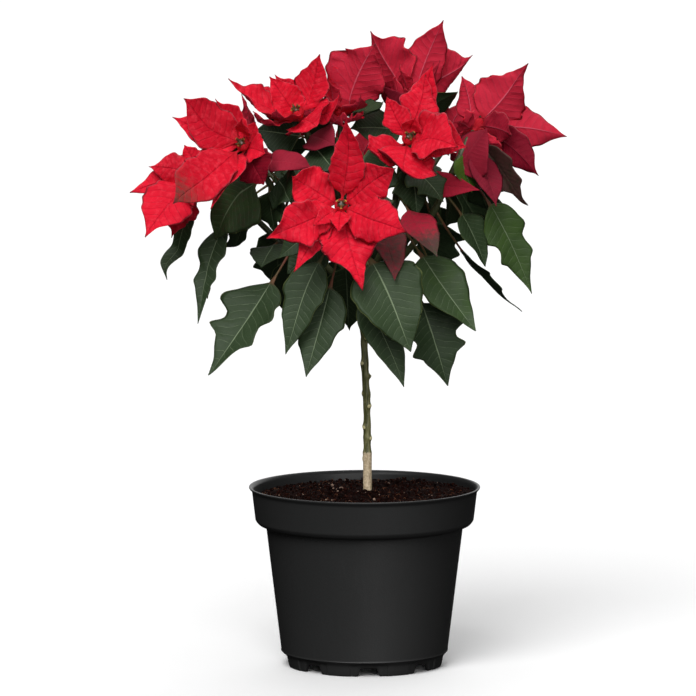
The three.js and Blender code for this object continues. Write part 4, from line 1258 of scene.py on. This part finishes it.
def leafSkin(shades):
    # Dark grey-green above with pale veins and a thin yellow margin, dull and lighter below; stalks
    # are red-brown; a leaf that turns to bract is grey-red with redder veins. A high tone turns the green
    # bright yellow-green, partly the colour of young leaves and partly painted light on leaves in shade.
    material, shader, place = startMaterial("leafSkin", 0.5, Specular_IOR_Level=0.28)
    vein, across, along = place.values("bladePlace")
    tone, dusk, top = place.values("bladeLook")
    height, line, thin, rib, slim = bladeRelief(place, vein, across, top)
    cloud = place.noise(50, 3, 0.6)
    patch = place.noise(300, 3, 0.6)
    # The tone takes the green from dark to bright, partly each leaf's own tone and partly painted light and
    # shade.
    freshAndLit = tone * 0.75 + cloud * 0.5 - 0.12
    colour = freshAndLit.clamped().between(*shades["green"])
    # Above about one the green goes to bright yellow-green: partly young leaves, partly painted light.
    colour = freshAndLit.step(0.7, 1.4).between(colour, shades["freshAndLit"])
    veins = (thin * abs(across).step(1.0, 0.6) * patch.step(0.25, 0.6) * 0.5 + slim * 0.85).clamped()
    colour = veins.between(colour, shades["vein"])
    colour = top.between(veins.between(*shades["below"]), colour)
    colour = (abs(across).step(0.95, 1.0) * 0.7).between(colour, shades["margin"])
    red = (tone * 0.8 + cloud * 0.4 - 0.1).clamped().between(*shades["red"])
    red = (line * 0.3 + rib * 0.4).between(red, shades["redVein"])
    turned = (patch - 0.5) * 0.7 + dusk
    dusky = turned.step(0.5, 1.0).between(shades["halfTurned"], red)
    colour = turned.step(0.1, 0.5).between(colour, dusky)
    colour = along.step(0.03, -0.02).between(colour, cloud.step(0.35, 0.65).between(*shades["stalk"]))
    roughness = cloud * 0.16 + dusk.clamped() * 0.35 + 0.4
    feed(shader, place, colour, roughness, height + patch * 0.2, 0.00035, 0.6)
    return material


def twigShell(shoot, rows, shape):
    # A tube along the branch's curve, wider at the stem and where each leaf stands on it.
    t = np.linspace(0, 1, 56)
    radius = shape["radius"] - shape["taper"] * t + shape["collar"] * bell(t, 0.05)
    for row in rows:
        radius = radius + shape["leafNode"] * bell(t - row["share"], 0.018)
    rings = tubeRings(branchCurve(shoot, t), radius, shape["sides"])
    # The third value marks the twig for the painted shade of the crown.
    look = np.stack([0.3 * bell(t, 0.04), 0 * t, 1 + 0 * t], -1)
    return closedTube(rings, {"stemLook": np.repeat(look[:, None], shape["sides"], axis=1)})


def axisShell(shoot, shape):
    # The bloom's axis, a tube that swells under the flowers, in the red of the bracts' feet.
    count = 12
    centres = shoot["centre"] + np.outer(np.linspace(-shape["axisDepth"], 0.4, count), shoot["front"])
    rings = tubeRings(centres, curveThrough(shape["axis"], np.linspace(0, 1, count)), shape["sides"])
    whole = np.ones((*rings.shape[:2], 1))
    return closedTube(rings, {
        "bladePlace": np.array([0.5, 0.5, -0.5]) * whole,
        "bladeLook": np.array([0.1, 0.0, 1.0]) * whole,
    })


def lathed(profile, sides, foot, x, y, front):
    # Rings of the given radii at heights along front.
    angle = roundAngles(sides)
    out = np.cos(angle)[:, None] * x + np.sin(angle)[:, None] * y
    r, h = np.array(profile, float).T
    return foot + h[:, None, None] * front + r[:, None, None] * out


flowerShape = {
    # Radius and height along each part's own axis.
    "cushion": [(2.9, -0.4), (3.2, 0.3), (2.8, 1.0), (1.8, 1.4), (0.5, 1.5)],
    "cup": [
        (0.4, -0.6), (1.15, 0.2), (1.62, 1.4), (1.72, 2.6), (1.45, 3.6), (1.15, 4.1), (1.3, 4.5),
        (0.9, 4.3), (0.5, 3.6),
    ],
    "bud": [(0.3, -0.5), (0.95, 0.3), (1.2, 1.3), (1.0, 2.2), (0.5, 2.8), (0.1, 3.0)],
    "gland": [(0.1, 0), (0.75, 0.15), (1.05, 0.6), (0.95, 0.95), (0.6, 0.75), (0.2, 0.5)],
    "head": [(0.05, -0.25), (0.28, -0.1), (0.32, 0.12), (0.08, 0.3)],
    "cups": 3,
    "buds": 5,
    "stamens": 7,
    "cupSize": (0.66, 0.8),
    "budSize": (0.42, 0.64),
    "green": ((0.02, 0.035, 0.01), (0.055, 0.075, 0.02)),
    "flush": (0.16, 0.01, 0.012),
    "yellow": ((0.2, 0.08, 0.01), (0.7, 0.46, 0.09)),
    "thread": (0.42, 0.02, 0.03),
}
# The kinds that the skin tells apart.
greenPart, yellowPart, redPart = 0.0, 1.0, 2.0


def flowerShells(shoot, ripe, shape, rng):
    # A green cushion with open cups, buds round them, a two-lipped yellow gland on the side of each
    # cup, and a tuft of stamens with yellow heads.
    x, y, front, centre = shoot["x"], shoot["y"], shoot["front"], shoot["centre"]
    shells = []

    def add(rings, kind, amount):
        look = np.array([kind, amount, 0.0]) * np.ones((*rings.shape[:2], 1))
        shells.append(closedTube(rings, {"flowerLook": look}))

    add(lathed(shape["cushion"], 20, centre + 0.4 * front, x, y, front), greenPart, 0.2)
    for k in range(shape["cups"] + shape["buds"]):
        cup = k < shape["cups"]
        a = 2.09 * k + 0.5 if cup else 1.2566 * k + 1.1
        far = 1.9 if cup else rng.uniform(3.0, 3.8)
        out = x * np.cos(a) + y * np.sin(a)
        lean = unit(front + (0.3 if cup else 0.45) * out)
        sideways = unit(np.cross(lean, out))
        foot = centre + far * out + (0.6 if cup else 0.0) * front
        size = rng.uniform(*shape["cupSize" if cup else "budSize"])
        profile = np.array(shape["cup" if cup else "bud"]) * size
        body = lathed(profile, 16, foot, np.cross(sideways, lean), sideways, lean)
        add(body, greenPart, rng.uniform(0.3, 1))
        if not cup:
            continue
        glandFoot = foot + lean * 2.9 * size + out * 1.5 * size
        glandFront = unit(out + 0.55 * lean)
        flat = np.cross(glandFront, sideways) * 0.56
        gland = lathed(shape["gland"], 14, glandFoot, sideways * 0.95, flat, glandFront)
        add(gland, yellowPart, rng.uniform(0.3, 0.7) + ripe)
        root = foot + lean * 3.4 * size
        for _ in range(shape["stamens"]):
            spread = rng.uniform(-0.5, 0.5, 2)
            direction = unit(lean + spread[0] * out + spread[1] * sideways)
            reach = rng.uniform(1.2, 2.0)
            add(tubeRings(root + direction * reach * np.linspace(0, 1, 5)[:, None], 0.16, 5), redPart, 0.5)
            level = unit(np.cross(direction, sideways))
            end, upright = root + direction * reach, np.cross(direction, level)
            head = lathed(shape["head"], 6, end, level, upright, direction)
            add(head, yellowPart, 0.5 * ripe)
    return shells


def flowerSkin(shape):
    # Fresh green, flushed red towards the rims; glands and stamen heads are yellow, threads red.
    material, shader, place = startMaterial("flowerSkin", 0.4, Coat_Weight=0.1)
    kind, amount, _ = place.values("flowerLook")
    patch = place.noise(700, 3, 0.6)
    green = (patch.step(0.45, 0.65) * 0.85).between(amount.between(*shape["green"]), shape["flush"])
    colour = kind.step(0.4, 0.6).between(green, amount.between(*shape["yellow"]))
    colour = kind.step(1.4, 1.6).between(colour, shape["thread"])
    feed(shader, place, colour, None, patch, 0.0003, 0.5)
    return material


leafMaterial, bractMaterial = leafSkin(leafLook), bractSkin(bractLook)
flowerMaterial = flowerSkin(flowerShape)
bladeCount = 0
for number, (name, shoot) in enumerate(shoots.items()):
    rng = np.random.default_rng(100 + number)
    grow = lambda blade: bladeShell(blade, traitsOf(blade, rng), bladeShape)
    leaves = [grow(leafBlade(shoot, row)) for row in leafRows[name]]
    bracts = [grow(bractBlade(shoot, row, k)) for k, row in enumerate(bractRows[name])]
    ripe = 0.5 if name == "front" else -0.2
    flowers = flowerShells(shoot, ripe, flowerShape, rng)
    makePiece("leaves_" + name, leaves, leafMaterial, ["branch_" + name])
    makePiece("twig_" + name, [twigShell(shoot, leafRows[name], twigShape)], barkMaterial)
    bloom = bracts + [axisShell(shoot, twigShape)]
    makePiece("bracts_" + name, bloom, bractMaterial, ["bloom_" + name])
    makePiece("flowers_" + name, flowers, flowerMaterial, ["cyathia_" + name])
    bladeCount += len(leaves) + len(bracts)
print("plant:", bladeCount, "leaves and bracts")


# Floor, light and camera.

studio = {
    "floorSide": 60.0,
    "floorGrey": 0.95,
    "cameraPlace": (-0.0136, -4.94, 0.8643),  # metres from the pot's foot
    "cameraTarget": (-0.0136, 0, 0.2623),
    "lens": 314.0,
    "suns": [
        # name, the way it comes from, strength, width of its disc in degrees
        ("key", (-0.35, -1.0, 1.05), 2.5, 36),
        ("front", (0.25, -1.0, 0.16), 0.95, 40),
        ("fill", (0.9, -1.0, 0.3), 0.25, 60),
        ("top", (0.0, 0.1, 1.0), 1.0, 70),
        ("back", (0.2, 1.0, 0.5), 0.9, 60),
    ],
    "roomLight": 0.07,
    "roomShine": 0.01,
}


def aim(thing, target):
    # Turns its own -Z axis to the target.
    thing.rotation_euler = (Vector(target) - thing.location).to_track_quat("-Z", "Y").to_euler()


floorMesh = bpy.data.meshes.new("studioFloor")
edge = studio["floorSide"] / 2
corners = [(-edge, -edge, 0), (edge, -edge, 0), (edge, edge, 0), (-edge, edge, 0)]
floorMesh.from_pydata(corners, [], [(0, 1, 2, 3)])
floor = bpy.data.objects.new("studioFloor", floorMesh)
bpy.context.collection.objects.link(floor)
floor.visible_diffuse = False
floor.visible_glossy = False
floorMaterial, floorShader, _ = startMaterial("paleFloor", 0.9)
floorShader.inputs["Base Color"].default_value = (*[studio["floorGrey"]] * 3, 1)
floorMesh.materials.append(floorMaterial)
floor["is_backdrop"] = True

for name, source, strength, width in studio["suns"]:
    lamp = bpy.data.lights.new(name, "SUN")
    lamp.energy = strength
    lamp.angle = np.radians(width)
    light = bpy.data.objects.new(name, lamp)
    light.location = Vector(source) * 2
    bpy.context.collection.objects.link(light)
    aim(light, (0, 0, 0))

# The room looks white to the camera, and lights the plant and shines in it only a little.
world = bpy.data.worlds.new("softRoom")
world.use_nodes = True
backdrop = world.node_tree.nodes["Background"]
backdrop.inputs["Color"].default_value = (1, 1, 1, 1)
rays = world.node_tree.nodes.new("ShaderNodeLightPath")
seen, lit = [Signal(world.node_tree, rays.outputs[kind]) for kind in ("Is Camera Ray", "Is Diffuse Ray")]
brightness = seen + lit * studio["roomLight"] + studio["roomShine"]
world.node_tree.links.new(brightness.socket, backdrop.inputs["Strength"])
bpy.context.scene.world = world

cameraData = bpy.data.cameras.new("viewCamera")
camera = bpy.data.objects.new("viewCamera", cameraData)
camera.location = Vector(potAxis) + Vector(studio["cameraPlace"])
bpy.context.collection.objects.link(camera)
aim(camera, Vector(potAxis) + Vector(studio["cameraTarget"]))
cameraData.lens = studio["lens"]
cameraData.sensor_width = 36
cameraData.clip_end = 200
bpy.context.scene.camera = camera
bpy.context.scene.view_settings.view_transform = "Standard"
print("floor, light and camera set")

{"cad": cadBox, "visual": [list(corner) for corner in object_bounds()]}
